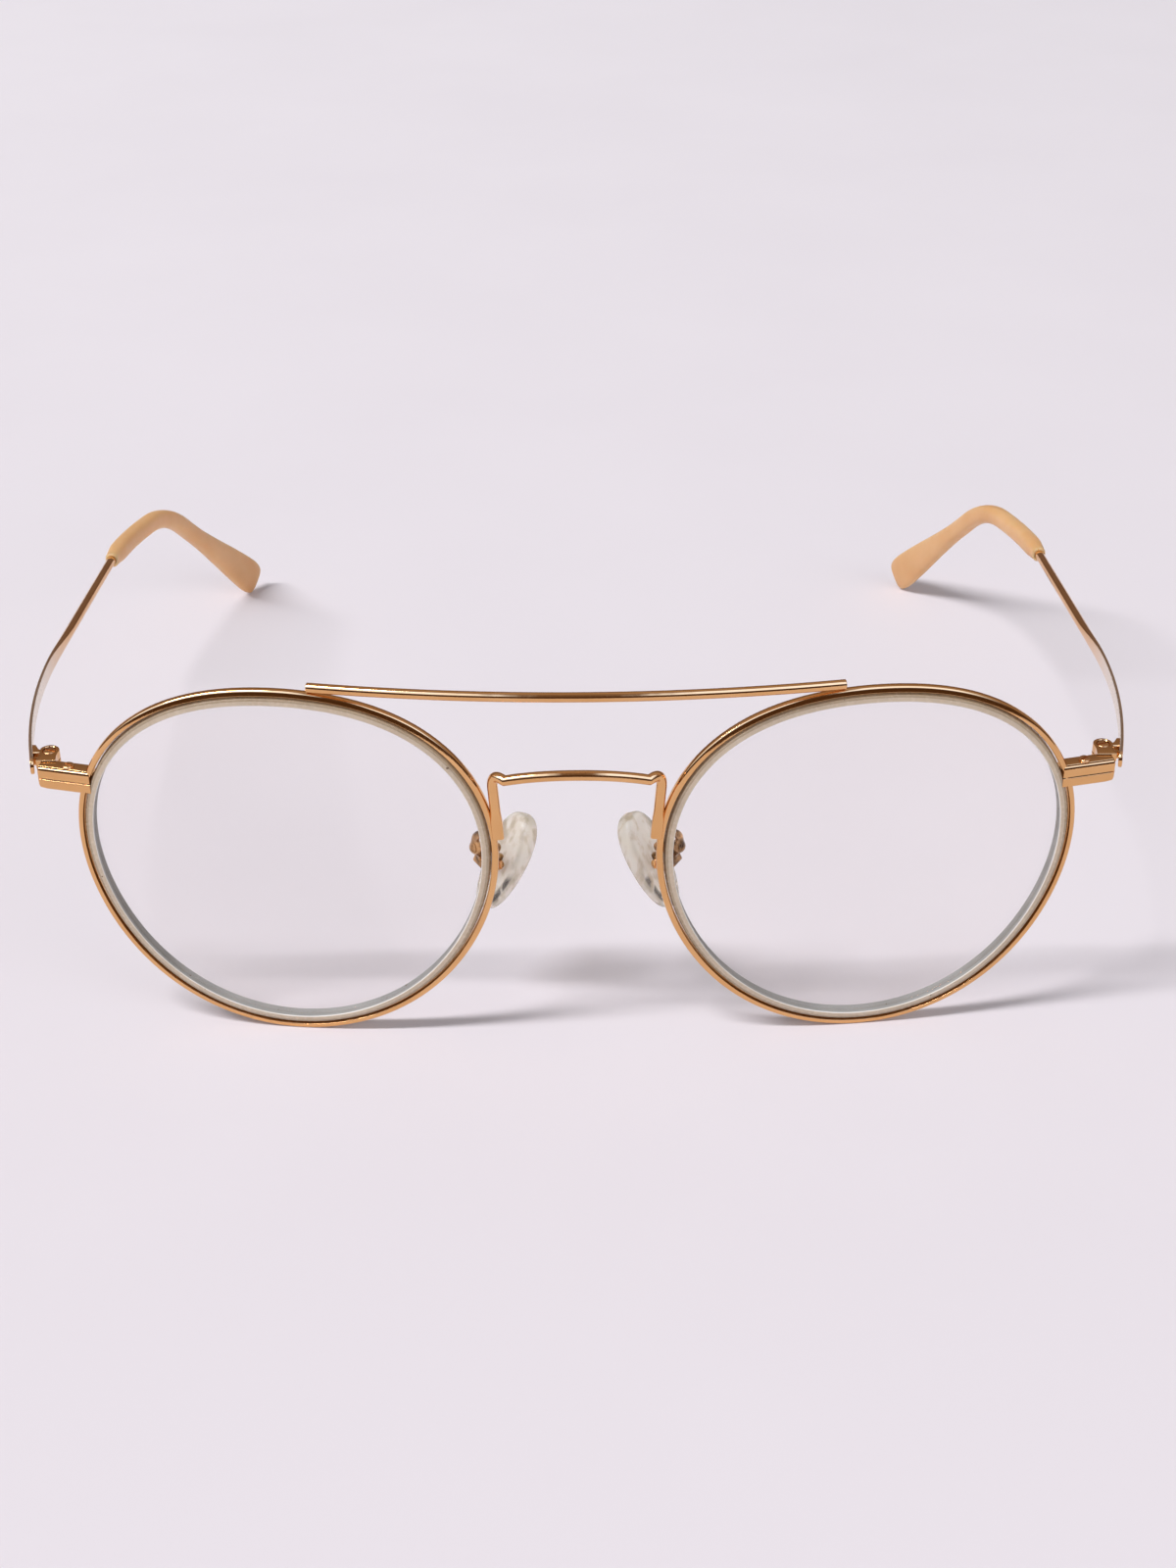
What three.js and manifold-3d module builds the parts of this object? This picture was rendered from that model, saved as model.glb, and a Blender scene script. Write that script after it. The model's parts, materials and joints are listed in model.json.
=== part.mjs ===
// Round metal eyeglasses standing open on their rims and ear tips.
// Millimetres and degrees. X runs across the front, Y back along the temples, Z up.
import * as THREE from 'three';
import { mergeVertices } from 'three/addons/utils/BufferGeometryUtils.js';
import Module from 'manifold-3d';

const wasm = await Module();
wasm.setup();

const radians = THREE.MathUtils.degToRad;

// Eye outline: a circle eased by four waves round its rim
const eyeWidth = 53;
const eyeSpacing = 72.41;
const ovalWave = 0.0152;
const taperWave = 0.0309;
const leanWave = -0.0034;
const squareWave = -0.0071;
const frontWrap = 5.6;
const noseHalfGap = (eyeSpacing - eyeWidth) / 2;

// Fits between pieces that are soldered or pressed together
const solderGap = 0.15;
const seatGap = 0.1;
const screwGap = 0.06;
const cutPast = 1;

// Rim wire
const rimWall = 0.8;
const rimDepth = 1.15;
const rimSlope = 0.12;
const rimRound = 0.2;
const rimBead = 0.58;
const rimLedge = 0.3;
const rimSlit = 0.3;
const rimSplitAngle = 25;

// Ridge that keys the plastic ring into the rim
const ridgeMid = 0.7;
const ridgeHalf = 0.25;
const ridgeHeight = 0.25;

// Plastic ring inside the rim
const ringWall = 1.15;
const ringFace = 1;
const ringProud = 0.08;
const ringShoulder = 0.08;
const ringStep = 0.1;
const ringDepth = 1.6;

// Lens with its bevelled edge
const bevelMid = 0.95;
const bevelHalf = 0.5;
const bevelHeight = 0.45;
const lensBulge = 2.3;

// Brow bar
const browRadius = 0.62;
const browInset = 4.005;
const browHalfSpan = eyeSpacing / 2 - browInset;
const browForward = 3.2;
const browArch = 0.3;
const browDrop = 0.3;

// Bridge wire, its legs and its soldered feet
const bridgeRadius = 0.66;
const legInset = 0.595;
const bridgeHalfSpan = noseHalfGap + legInset;
const bridgeHeight = 14.85;
const bridgeArch = 0.95;
const bridgeForward = 1.6;
const cornerForward = 1.2;
const bridgeCorner = 1.5;
const cornerRise = 0.6;
const legSplay = 0.55;
const footBottom = 5.8;
const footTop = 8.8;
const footHalfWidth = 0.72;
const footHalfDepth = 0.55;

// Hinge axis on the front, and the temple's height on it and downward slope
const hingeOut = 3.295;
const hingeBack = 5.01;
const hingeX = (eyeSpacing + eyeWidth) / 2 + hingeOut;
const hingeY = (eyeWidth / 2) * Math.sin(radians(frontWrap)) + hingeBack;
const hingeZ = (eyeWidth / 2) * Math.sin(radians(rimSplitAngle));
const templeRise = 0.5;
const templeSlope = 8.8;

// Hinge knuckles and their screw
const barrelRadius = 1.25;
const knuckleTall = 1;
const lobeTall = 1.2;
const knuckleGap = 0.06;
const hingeScrewRadius = 0.45;
const hingeHeadRadius = 0.78;
const hingeHeadTall = 0.4;
const bracketReach = 2.4;
const bracketStart = 1.2;

// Closing block that clamps the rim, in two halves
const blockLong = 6.9;
const blockDeep = 2.1;
const blockTurn = 13.4;
const blockOut = 0.95;
const blockFront = 3.7;
const blockTop = 1.55;
const blockBottom = -1.6;
const blockSplit = -0.12;
const blockSplitGap = 0.12;
const blockCorner = 0.55;

// Screw that closes the rim
const rimScrewRadius = 0.45;
const rimHeadRadius = 0.74;
const rimHeadTall = 0.3;
const rimScrewIn = 3.8;
const slotWidth = 0.24;
const slotDepth = 0.18;

// Temple: flat blade, then round wire, then the core inside the tip
const bladeOut = 2.4;
const bladeFront = 3.2;
const bladeThick = 0.5;
const bladeTall = 2.2;
const bladeSquareness = 0.4;
const bladeEnd = 30;
const wireStart = 48;
const wireRadius = 0.7;
const bowOut = 4.64;
const bowReach = 38;
const inwardStart = 76.7;
const tipInward = 15.3;
const templeReach = 128.8;
const earStart = 98.2;
const earRadius = 18;
const earAngle = 38.6;
const droopStart = 114;
const droopEnd = 1.2;
const coreShort = 9;

// Moulded ear tip
const tipStart = 79;
const tipMouth = 0.75;
const tipTaper = 5;
const tipHalfTall = 1.5;
const tipHalfThick = 1.35;
const paddleHalfTall = 3;
const paddleHalfThick = 1.15;
const paddleStart = 112;
const tipRound = 2.6;
const tipEndThin = 0.4;
const tipEndShort = 0.55;
const tipSquareness = 0.75;
const coreGap = 0.1;

// Nose pads: place, angles and shape
const padInset = 0.405;
const padX = noseHalfGap - padInset;
const padY = 7.8;
const padZ = -4.5;
const padSplay = 30;
const padTilt = 29;
const padHalfLong = 6.6;
const padHalfWide = 3.5;
const padThick = 2.6;
const padRound = 0.8;
const padTaper = 0.12;
const padSquareness = 0.92;
const lugLong = 1.8;
const lugWide = 1.4;
const lugOut = 1.75;
const lugRoot = 0.3;

// Pad box, its screw and the wire arm
const boxLong = 2.7;
const boxWall = 0.65;
const boxGap = 0.42;
const lugGap = 0.15;
const lugEndGap = 0.3;
const padScrewRadius = 0.38;
const padHeadRadius = 0.74;
const padHeadTall = 0.5;
const armRadius = 0.52;
const armHeight = 3;
const armLoop = 1.5;
const loopTop = 3.4;
const loopBottom = -0.3;

// Facets
const outlineSteps = 48;
const roundSteps = 10;
const barrelSteps = 20;
const wireSteps = 12;
const tipSteps = 14;

const gold = { color: 0xd9a06c, roughness: 0.2, metalness: 1 };
const screwGold = { color: 0xc79258, roughness: 0.3, metalness: 1 };
const ringPlastic = { color: 0xb8ab98, roughness: 0.3, metalness: 0 };
const lensClear = { color: 0xf2f0f2, roughness: 0.05, metalness: 0 };
const tipPlastic = { color: 0xc99664, roughness: 0.5, metalness: 0 };
const padClear = { color: 0xd9cfc3, roughness: 0.35, metalness: 0 };

const up = new THREE.Vector3(0, 0, 1);

function signedVolume(geometry) {
  const place = geometry.getAttribute('position');
  const index = geometry.getIndex();
  const [a, b, c] = [0, 1, 2].map(() => new THREE.Vector3());
  let total = 0;
  for (let i = 0; i < index.count; i += 3) {
    a.fromBufferAttribute(place, index.getX(i));
    b.fromBufferAttribute(place, index.getX(i + 1));
    c.fromBufferAttribute(place, index.getX(i + 2));
    total += a.dot(b.cross(c));
  }
  return total;
}

// Turns the faces of a mirrored piece outward again
function facedOut(geometry) {
  if (signedVolume(geometry) < 0) {
    const list = Array.from(geometry.getIndex().array);
    geometry.setIndex(list.reverse());
  }
  return geometry;
}

function fromLists(points, faces) {
  const geometry = new THREE.BufferGeometry().setFromPoints(points);
  geometry.setIndex(faces.flat());
  return facedOut(geometry);
}

// Skin over a row of equal sections. A flat contour caps both ends; without one the row closes.
function loft(sections, contour) {
  const count = sections[0].length;
  const faces = [];
  const rows = contour ? sections.length - 1 : sections.length;
  for (let row = 0; row < rows; row += 1) {
    const next = (row + 1) % sections.length;
    for (let i = 0; i < count; i += 1) {
      const j = (i + 1) % count;
      const [a, b, c, d] = [row * count + i, row * count + j, next * count + j, next * count + i];
      faces.push([a, b, c], [a, c, d]);
    }
  }
  if (contour) {
    const last = (sections.length - 1) * count;
    const caps = THREE.ShapeUtils.triangulateShape(contour, []);
    const turned = THREE.ShapeUtils.area(contour) > 0;
    caps.forEach(([a, b, c]) => {
      faces.push(turned ? [a, c, b] : [a, b, c]);
      faces.push(turned ? [last + a, last + b, last + c] : [last + a, last + c, last + b]);
    });
  }
  return fromLists(sections.flat(), faces);
}

function plain(geometry) {
  const bare = geometry.clone();
  bare.deleteAttribute('normal');
  bare.deleteAttribute('uv');
  return facedOut(mergeVertices(bare, 1e-5));
}

function solid(geometry) {
  const merged = plain(geometry);
  const vertProperties = new Float32Array(merged.getAttribute('position').array);
  const triVerts = new Uint32Array(merged.getIndex().array);
  return new wasm.Manifold(new wasm.Mesh({ numProp: 3, vertProperties, triVerts }));
}

function skin(body) {
  const mesh = body.getMesh();
  const geometry = new THREE.BufferGeometry();
  geometry.setAttribute('position', new THREE.BufferAttribute(new Float32Array(mesh.vertProperties), 3));
  geometry.setIndex(Array.from(mesh.triVerts));
  return geometry;
}

function joined(first, ...others) {
  return skin(others.reduce((body, other) => body.add(solid(other)), solid(first)));
}

function cut(first, ...others) {
  return skin(others.reduce((body, other) => body.subtract(solid(other)), solid(first)));
}

function box(x0, x1, y0, y1, z0, z1) {
  const geometry = new THREE.BoxGeometry(x1 - x0, y1 - y0, z1 - z0);
  return geometry.translate((x0 + x1) / 2, (y0 + y1) / 2, (z0 + z1) / 2);
}

// Upright cylinder between two heights
function post(radius, z0, z1) {
  const geometry = new THREE.CylinderGeometry(radius, radius, z1 - z0, barrelSteps);
  return geometry.rotateX(Math.PI / 2).translate(0, 0, (z0 + z1) / 2);
}

// Screw standing on its shank's end at height z0, with a slotted head from headBase to headTop
function screw(shankRadius, headRadius, z0, headBase, headTop) {
  const shank = post(shankRadius, z0, headBase + screwGap);
  const head = post(headRadius, headBase, headTop);
  const half = slotWidth / 2;
  const slot = box(-headRadius * 2, headRadius * 2, -half, half, headTop - slotDepth, headTop + slotDepth);
  return cut(joined(shank, head), slot);
}

function wire(curve, radius, steps) {
  const shape = new THREE.Shape().absarc(0, 0, radius, 0, Math.PI * 2);
  const options = { steps, curveSegments: roundSteps / 2, extrudePath: curve };
  return plain(new THREE.ExtrudeGeometry(shape, options));
}

function ellipse(halfWide, halfTall, count, squareness) {
  return Array.from({ length: count }, (_, i) => {
    const angle = (i * 2 * Math.PI) / count;
    const ease = (value) => Math.sign(value) * Math.abs(value) ** squareness;
    return new THREE.Vector2(halfWide * ease(Math.cos(angle)), halfTall * ease(Math.sin(angle)));
  });
}

// Places a flat section square to a path, its second axis as near to upright as the path allows
function placed(contour, centre, ahead) {
  const across = new THREE.Vector3().crossVectors(ahead, up).normalize();
  const upright = new THREE.Vector3().crossVectors(across, ahead).normalize();
  return contour.map((p) => centre.clone().addScaledVector(across, p.x).addScaledVector(upright, p.y));
}

function blend(value, start, end) {
  return THREE.MathUtils.smoothstep(value, start, end);
}

// Eye outline in the rim's plane: x to the temple side, y up, widest span eyeWidth
function rawOutline(angle) {
  const waves = ovalWave * Math.cos(2 * angle) + taperWave * Math.sin(3 * angle);
  const details = leanWave * Math.cos(3 * angle) + squareWave * Math.cos(4 * angle);
  return new THREE.Vector2(Math.cos(angle), Math.sin(angle)).multiplyScalar(1 + waves + details);
}

const outlineBox = (() => {
  const fine = outlineSteps * 20;
  const samples = Array.from({ length: fine }, (_, i) => rawOutline((i * 2 * Math.PI) / fine));
  return new THREE.Box2().setFromPoints(samples);
})();
const outlineCentre = outlineBox.getCenter(new THREE.Vector2());
const outlineScale = eyeWidth / outlineBox.getSize(new THREE.Vector2()).x;
const eyeHalfTall = (outlineBox.getSize(new THREE.Vector2()).y * outlineScale) / 2;

function outlinePoint(angle, inset) {
  const small = 1e-4;
  const ahead = rawOutline(angle + small).sub(rawOutline(angle - small)).normalize();
  const point = rawOutline(angle).sub(outlineCentre).multiplyScalar(outlineScale);
  return new THREE.Vector2(point.x - ahead.y * inset, point.y + ahead.x * inset);
}

function inEye(angle, inset, depth, sign) {
  const point = outlinePoint(angle, inset);
  return new THREE.Vector3(sign * point.x, depth, point.y);
}

function eyeMatrix(sign) {
  const turn = new THREE.Matrix4().makeRotationZ(sign * radians(frontWrap));
  return turn.setPosition((sign * eyeSpacing) / 2, 0, 0);
}

function hingeMatrix(sign) {
  return new THREE.Matrix4().setPosition(sign * hingeX, hingeY, hingeZ);
}

function templeMatrix(sign) {
  const turn = new THREE.Matrix4().makeRotationX(-radians(templeSlope));
  return turn.setPosition(sign * hingeX, hingeY, hingeZ + templeRise);
}

// Insets of the seats, from the rim's outer edge towards the lens
const ringOuter = rimWall + seatGap;
const ringInner = ringOuter + ringWall;
const lensEdge = ringInner + seatGap;

// Rim section as inset and depth: a bead that slopes outward, a low ledge and a groove for the ring
function rimSection() {
  const nick = rimRound * (1 - Math.SQRT1_2);
  return [
    [0, rimSlope + rimRound], [nick, rimSlope + nick], [rimBead - nick, 0], [rimBead, rimLedge],
    [rimWall, rimLedge], [rimWall, ridgeMid - ridgeHalf], [rimWall - ridgeHeight, ridgeMid],
    [rimWall, ridgeMid + ridgeHalf], [rimWall, rimDepth], [rimRound, rimDepth],
    [nick, rimDepth - nick], [0, rimDepth - rimRound],
  ].map(([inset, depth]) => new THREE.Vector2(inset, depth));
}

function rim(sign) {
  const section = rimSection();
  const half = rimSlit / eyeWidth;
  const start = radians(rimSplitAngle) + half;
  const sweep = 2 * Math.PI - 2 * half;
  const sections = Array.from({ length: outlineSteps + 1 }, (_, i) => {
    const angle = start + (i * sweep) / outlineSteps;
    return section.map((p) => inEye(angle, p.x, p.y, sign));
  });
  return loft(sections, section);
}

// Angles shared by the ring and the lens, so that their facets run side by side
function seatAngles() {
  return Array.from({ length: outlineSteps }, (_, i) => (i * 2 * Math.PI) / outlineSteps);
}

// Space of one eye with the solder gap round it, cut out of the pieces soldered to the rim
function rimCutter(sign) {
  const clear = seatAngles().map((angle) => outlinePoint(angle, -solderGap));
  const flat = new THREE.ExtrudeGeometry(new THREE.Shape(clear), { depth: eyeWidth, bevelEnabled: false });
  flat.rotateX(Math.PI / 2).translate(0, eyeWidth / 2, 0).scale(sign, 1, 1);
  return flat.applyMatrix4(eyeMatrix(sign));
}

function innerRing(sign) {
  const section = [
    [ringInner, ringStep], [ringOuter + ringFace, -ringProud],
    [ringOuter, ringShoulder], [ringOuter, ridgeMid - ridgeHalf],
    [ringOuter - ridgeHeight + seatGap, ridgeMid], [ringOuter, ridgeMid + ridgeHalf],
    [ringOuter, ringDepth], [ringInner, ringDepth], [ringInner, bevelMid + bevelHalf],
    [ringInner - bevelHeight, bevelMid], [ringInner, bevelMid - bevelHalf],
  ];
  return loft(seatAngles().map((angle) => section.map(([inset, depth]) => inEye(angle, inset, depth, sign))));
}

// Lens: rings of points from the middle of the front, over the bevel, to the middle of the back
function lens(sign) {
  const shares = [0.3, 0.6, 0.82, 1];
  const face = (share, edgeDepth) => seatAngles().map((angle) => {
    const point = inEye(angle, lensEdge, edgeDepth - lensBulge * (1 - share * share), sign);
    return point.multiply(new THREE.Vector3(share, 1, share));
  });
  const front = shares.map((share) => face(share, bevelMid - bevelHalf));
  const back = shares.toReversed().map((share) => face(share, bevelMid + bevelHalf));
  const apex = seatAngles().map((angle) => inEye(angle, lensEdge - bevelHeight, bevelMid, sign));
  const contour = front[0].map((p) => new THREE.Vector2(p.x, p.z));
  return loft([...front, apex, ...back], contour);
}

function browBar() {
  const eyeTurn = Math.tan(radians(frontWrap)) * (browHalfSpan - eyeSpacing / 2);
  const y = rimDepth / 2 + eyeTurn;
  const z = eyeHalfTall + solderGap + browRadius - browDrop;
  const ends = [-1, 1].map((sign) => new THREE.Vector3(sign * browHalfSpan, y, z));
  const middle = new THREE.Vector3(0, y - 2 * browForward, z + 2 * browArch);
  const bar = wire(new THREE.QuadraticBezierCurve3(ends[0], middle, ends[1]), browRadius, 16);
  return cut(bar, rimCutter(-1), rimCutter(1));
}

// Centre line of one half of the bridge, from the foot up the leg and in to the middle
function bridgeHalf(sign) {
  const y = rimDepth / 2 - Math.sin(radians(frontWrap)) * (eyeWidth / 2);
  const at = (x, forward, z) => new THREE.Vector3(sign * x, y - forward, z);
  const legTop = at(bridgeHalfSpan, 0, bridgeHeight - bridgeCorner);
  const corner = at(bridgeHalfSpan, 0, bridgeHeight + cornerRise);
  const armStart = at(bridgeHalfSpan - bridgeCorner, cornerForward, bridgeHeight);
  const armBend = at(bridgeHalfSpan / 2, bridgeForward, bridgeHeight + bridgeArch);
  const middle = at(0, bridgeForward, bridgeHeight + bridgeArch);
  const path = new THREE.CurvePath();
  path.add(new THREE.LineCurve3(at(bridgeHalfSpan - legSplay, 0, footBottom), legTop));
  path.add(new THREE.QuadraticBezierCurve3(legTop, corner, armStart));
  path.add(new THREE.QuadraticBezierCurve3(armStart, armBend, middle));
  return path;
}

// Sections of the bridge: flat at the soldered foot, round above it
function bridgeSections(sign) {
  const path = bridgeHalf(sign);
  const [leg, corner, arm] = path.curves;
  const samples = [
    ...[0, 0.2, 0.4, 0.55, 0.75].map((t) => [leg, t]),
    ...[0, 0.2, 0.4, 0.6, 0.8].map((t) => [corner, t]),
    ...[0, 0.35, 0.7].map((t) => [arm, t]),
  ];
  return samples.map(([curve, t]) => {
    const centre = curve.getPoint(t);
    const ahead = curve.getTangent(t);
    const round = blend(centre.z, footTop - 1, footTop + 1);
    const wide = THREE.MathUtils.lerp(footHalfWidth, bridgeRadius, round);
    const deep = THREE.MathUtils.lerp(footHalfDepth, bridgeRadius, round);
    return { centre, ahead, wide, deep };
  });
}

function bridge() {
  const contour = ellipse(1, 1, roundSteps, 1);
  const left = bridgeSections(-1);
  const right = bridgeSections(1).reverse();
  right.forEach((section) => section.ahead.negate());
  const middle = bridgeHalf(1).getPoint(1);
  const top = { centre: middle, ahead: new THREE.Vector3(1, 0, 0), wide: bridgeRadius, deep: bridgeRadius };
  const back = new THREE.Vector3(0, 1, 0);
  const sections = [...left, top, ...right].map(({ centre, ahead, wide, deep }) => {
    const across = new THREE.Vector3().crossVectors(ahead, back).normalize();
    const depth = new THREE.Vector3().crossVectors(across, ahead).normalize();
    across.multiplyScalar(wide);
    depth.multiplyScalar(deep);
    return contour.map((p) => centre.clone().addScaledVector(across, p.x).addScaledVector(depth, p.y));
  });
  return cut(loft(sections, contour), rimCutter(-1), rimCutter(1));
}

// Knuckle heights above the middle of the hinge
const lobeBase = knuckleTall / 2 + knuckleGap;
const hingeTop = lobeBase + lobeTall;

// Block standing between two heights, its outer corners rounded
function blockHalf(z0, z1, sign) {
  const shape = new THREE.Shape();
  shape.moveTo(-blockLong, z0);
  shape.lineTo(-blockCorner, z0);
  shape.quadraticCurveTo(0, z0, 0, z0 + blockCorner);
  shape.lineTo(0, z1);
  shape.lineTo(-blockLong, z1);
  const flat = new THREE.ExtrudeGeometry(shape, { depth: blockDeep, bevelEnabled: false, curveSegments: 3 });
  flat.rotateX(Math.PI / 2).translate(0, blockDeep, 0);
  flat.rotateZ(radians(blockTurn)).translate(blockOut, -blockFront, 0);
  return flat.scale(sign, 1, 1);
}

// Knuckle on the front: a round lobe with a tongue that reaches the block
function frontLobe(z0, z1) {
  const tongueEnd = blockFront - blockDeep + barrelRadius / 2;
  const tongue = box(-barrelRadius, barrelRadius, -tongueEnd, 0, z0, z1);
  return [post(barrelRadius, z0, z1), tongue];
}

function rimScrewPlace(sign) {
  const spot = new THREE.Vector2(-rimScrewIn, blockDeep / 2);
  spot.rotateAround(new THREE.Vector2(), radians(blockTurn));
  return new THREE.Vector3(sign * (spot.x + blockOut), spot.y - blockFront, 0);
}

function blockWithLobe(z0, z1, lobe0, lobe1, sign) {
  const lobes = frontLobe(lobe0, lobe1).map((part) => part.scale(sign, 1, 1));
  const whole = joined(blockHalf(z0, z1, sign), ...lobes);
  const spot = rimScrewPlace(sign);
  const rimHole = post(rimScrewRadius + screwGap, z0 - cutPast, z1 + cutPast).translate(spot.x, spot.y, 0);
  const hingeHole = post(hingeScrewRadius + screwGap, lobe0 - cutPast, lobe1 + cutPast);
  return cut(whole, rimHole, hingeHole, rimCutter(sign).applyMatrix4(hingeMatrix(sign).invert()));
}

function blockUpper(sign) {
  const base = blockSplit + blockSplitGap / 2;
  const whole = blockWithLobe(base, blockTop, lobeBase, hingeTop, sign);
  const sink = hingeTop - hingeHeadTall - screwGap;
  return cut(whole, post(hingeHeadRadius + screwGap, sink, hingeTop + cutPast));
}

function blockLower(sign) {
  return blockWithLobe(blockBottom, blockSplit - blockSplitGap / 2, -hingeTop, -lobeBase, sign);
}

function rimScrew() {
  const headBase = blockTop + screwGap;
  return screw(rimScrewRadius, rimHeadRadius, blockBottom, headBase, headBase + rimHeadTall);
}

function hingeScrew() {
  return screw(hingeScrewRadius, hingeHeadRadius, -hingeTop, hingeTop - hingeHeadTall, hingeTop);
}

// Centre line of the temple, by its distance behind the hinge axis
function templeX(y) {
  const bow = 1 - (1 - Math.min(y, bowReach) / bowReach) ** 2;
  const inward = Math.max(0, (y - inwardStart) / (templeReach - inwardStart)) ** 2;
  return bladeOut + bowOut * bow - tipInward * inward;
}

function templeZ(y) {
  const along = Math.max(0, y - earStart);
  const arcEnd = earRadius * Math.sin(radians(earAngle));
  const inArc = Math.min(along, arcEnd);
  const drop = earRadius - Math.sqrt(earRadius * earRadius - inArc * inArc);
  const droop = Math.max(0, (y - droopStart) / (templeReach - droopStart)) ** 2;
  return -drop - (along - inArc) * Math.tan(radians(earAngle)) - droopEnd * droop;
}

function templePoint(y, sign) {
  return new THREE.Vector3(sign * templeX(y), y, templeZ(y));
}

function templeAhead(y, sign) {
  const small = 0.05;
  return templePoint(y + small, sign).sub(templePoint(y - small, sign)).normalize();
}

function spread(start, end, steps) {
  return Array.from({ length: steps + 1 }, (_, i) => start + ((end - start) * i) / steps);
}

function templeStations() {
  const arcEnd = earStart + earRadius * Math.sin(radians(earAngle));
  return [
    ...spread(-bladeFront, bladeEnd, 7), ...spread(bladeEnd, wireStart, 4).slice(1),
    ...spread(wireStart, earStart, 6).slice(1), ...spread(earStart, arcEnd, 4).slice(1),
    ...spread(arcEnd, templeReach - coreShort, 3).slice(1),
  ];
}

function temple(sign) {
  const sections = templeStations().map((y) => {
    const round = blend(y, bladeEnd, wireStart);
    const thick = THREE.MathUtils.lerp(bladeThick / 2, wireRadius, round);
    const tall = THREE.MathUtils.lerp(bladeTall / 2, wireRadius, round);
    const contour = ellipse(thick, tall, wireSteps, THREE.MathUtils.lerp(bladeSquareness, 1, round));
    return placed(contour, templePoint(y, sign), templeAhead(y, sign));
  });
  return loft(sections, ellipse(1, 1, wireSteps, 1));
}

// Half height and half thickness of the ear tip, rounded off at its end
function tipHalves(y) {
  const paddle = blend(y, paddleStart, templeReach);
  const left = Math.min(1, Math.max(0, (templeReach - y) / tipRound));
  const round = Math.sqrt(1 - (1 - left) ** 2);
  const tall = THREE.MathUtils.lerp(tipHalfTall, paddleHalfTall, paddle);
  const thick = THREE.MathUtils.lerp(tipHalfThick, paddleHalfThick, paddle);
  const thin = THREE.MathUtils.lerp(tipEndThin, 1, round);
  const short = THREE.MathUtils.lerp(tipEndShort, 1, round);
  const mouth = THREE.MathUtils.lerp(tipMouth, 1, blend(y, tipStart, tipStart + tipTaper));
  return [thick * thin * mouth, tall * short * mouth];
}

function templeTip(sign) {
  const arcEnd = earStart + earRadius * Math.sin(radians(earAngle));
  const stations = [
    ...spread(tipStart, tipStart + tipTaper, 3), ...spread(tipStart + tipTaper, earStart, 3).slice(1),
    ...spread(earStart, arcEnd, 4).slice(1),
    ...spread(arcEnd, templeReach - tipRound, 4).slice(1), templeReach - tipRound * 0.5,
    templeReach - tipRound * 0.15, templeReach,
  ];
  const sections = stations.map((y) => {
    const [thick, tall] = tipHalves(y);
    return placed(ellipse(thick, tall, tipSteps, tipSquareness), templePoint(y, sign), templeAhead(y, sign));
  });
  const bore = ellipse(wireRadius + coreGap, wireRadius + coreGap, wireSteps, 1);
  const boreEnd = templeReach - coreShort + coreGap * 3;
  const boreStations = templeStations().filter((y) => y > tipStart + cutPast && y < boreEnd - cutPast);
  const channel = [tipStart - cutPast, ...boreStations, boreEnd].map((y) => (
    placed(bore, templePoint(y, sign), templeAhead(y, sign))
  ));
  return cut(loft(sections, ellipse(1, 1, tipSteps, 1)), loft(channel, bore));
}

// Middle knuckle with the bracket that carries it on the temple's inner face
function templeKnuckle(sign) {
  const half = knuckleTall / 2;
  const barrel = post(barrelRadius, -half, half);
  const face = bladeOut - bladeThick / 2 - solderGap;
  const web = box(0, face, 0, bracketStart + screwGap, -half, half);
  const tall = bladeTall / 2 - solderGap;
  const pad = new THREE.Shape();
  pad.moveTo(barrelRadius / 2, bracketStart);
  pad.lineTo(templeX(bracketStart) - bladeThick / 2 - solderGap, bracketStart);
  pad.lineTo(templeX(bracketReach) - bladeThick / 2 - solderGap, bracketReach);
  pad.lineTo(templeX(bracketReach) - bladeThick - solderGap, bracketReach);
  const bracket = new THREE.ExtrudeGeometry(pad, { depth: 2 * tall, bevelEnabled: false });
  bracket.translate(0, 0, -tall);
  const hole = post(hingeScrewRadius + screwGap, -hingeTop, hingeTop);
  return cut(joined(barrel, web, bracket), hole).scale(sign, 1, 1);
}

// Pad pieces, x out from the nose, y back and z along the pad
const lugAxis = padThick / 2 + boxGap + lugOut / 2 - lugEndGap;
const boxFace = padThick / 2 + boxGap;
const boxBase = padThick / 2 + lugOut + lugEndGap;
const boxHalfWide = lugWide / 2 + lugGap + boxWall;

function padLayer(out, shrink) {
  return ellipse(padHalfWide - shrink, padHalfLong - shrink, barrelSteps, padSquareness).map((p) => {
    const narrowing = 1 - (padTaper * p.y) / padHalfLong;
    return new THREE.Vector3(out, p.x * narrowing, p.y);
  });
}

function nosePad() {
  const half = padThick / 2;
  const nick = padRound * (1 - Math.SQRT1_2);
  const layers = [
    padLayer(-half, padRound), padLayer(-half + nick, nick), padLayer(-half + padRound, 0),
    padLayer(half - padRound, 0), padLayer(half - nick, nick), padLayer(half, padRound),
  ];
  const body = loft(layers, layers[0].map((p) => new THREE.Vector2(p.y, p.z)));
  const lug = box(half - lugRoot, half + lugOut, -lugWide / 2, lugWide / 2, -lugLong / 2, lugLong / 2);
  return cut(joined(body, lug), padScrewHole());
}

function padScrewHole() {
  const hole = post(padScrewRadius + screwGap, -padHalfWide, padHalfWide);
  return hole.rotateX(Math.PI / 2).translate(lugAxis, 0, 0);
}

function padBox() {
  const half = boxLong / 2;
  const outer = box(boxFace, boxBase + boxWall, -boxHalfWide, boxHalfWide, -half, half);
  const slotHalf = lugWide / 2 + lugGap;
  const slot = box(0, boxBase, -slotHalf, slotHalf, -boxLong, boxLong);
  return cut(outer, slot, padScrewHole());
}

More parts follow.
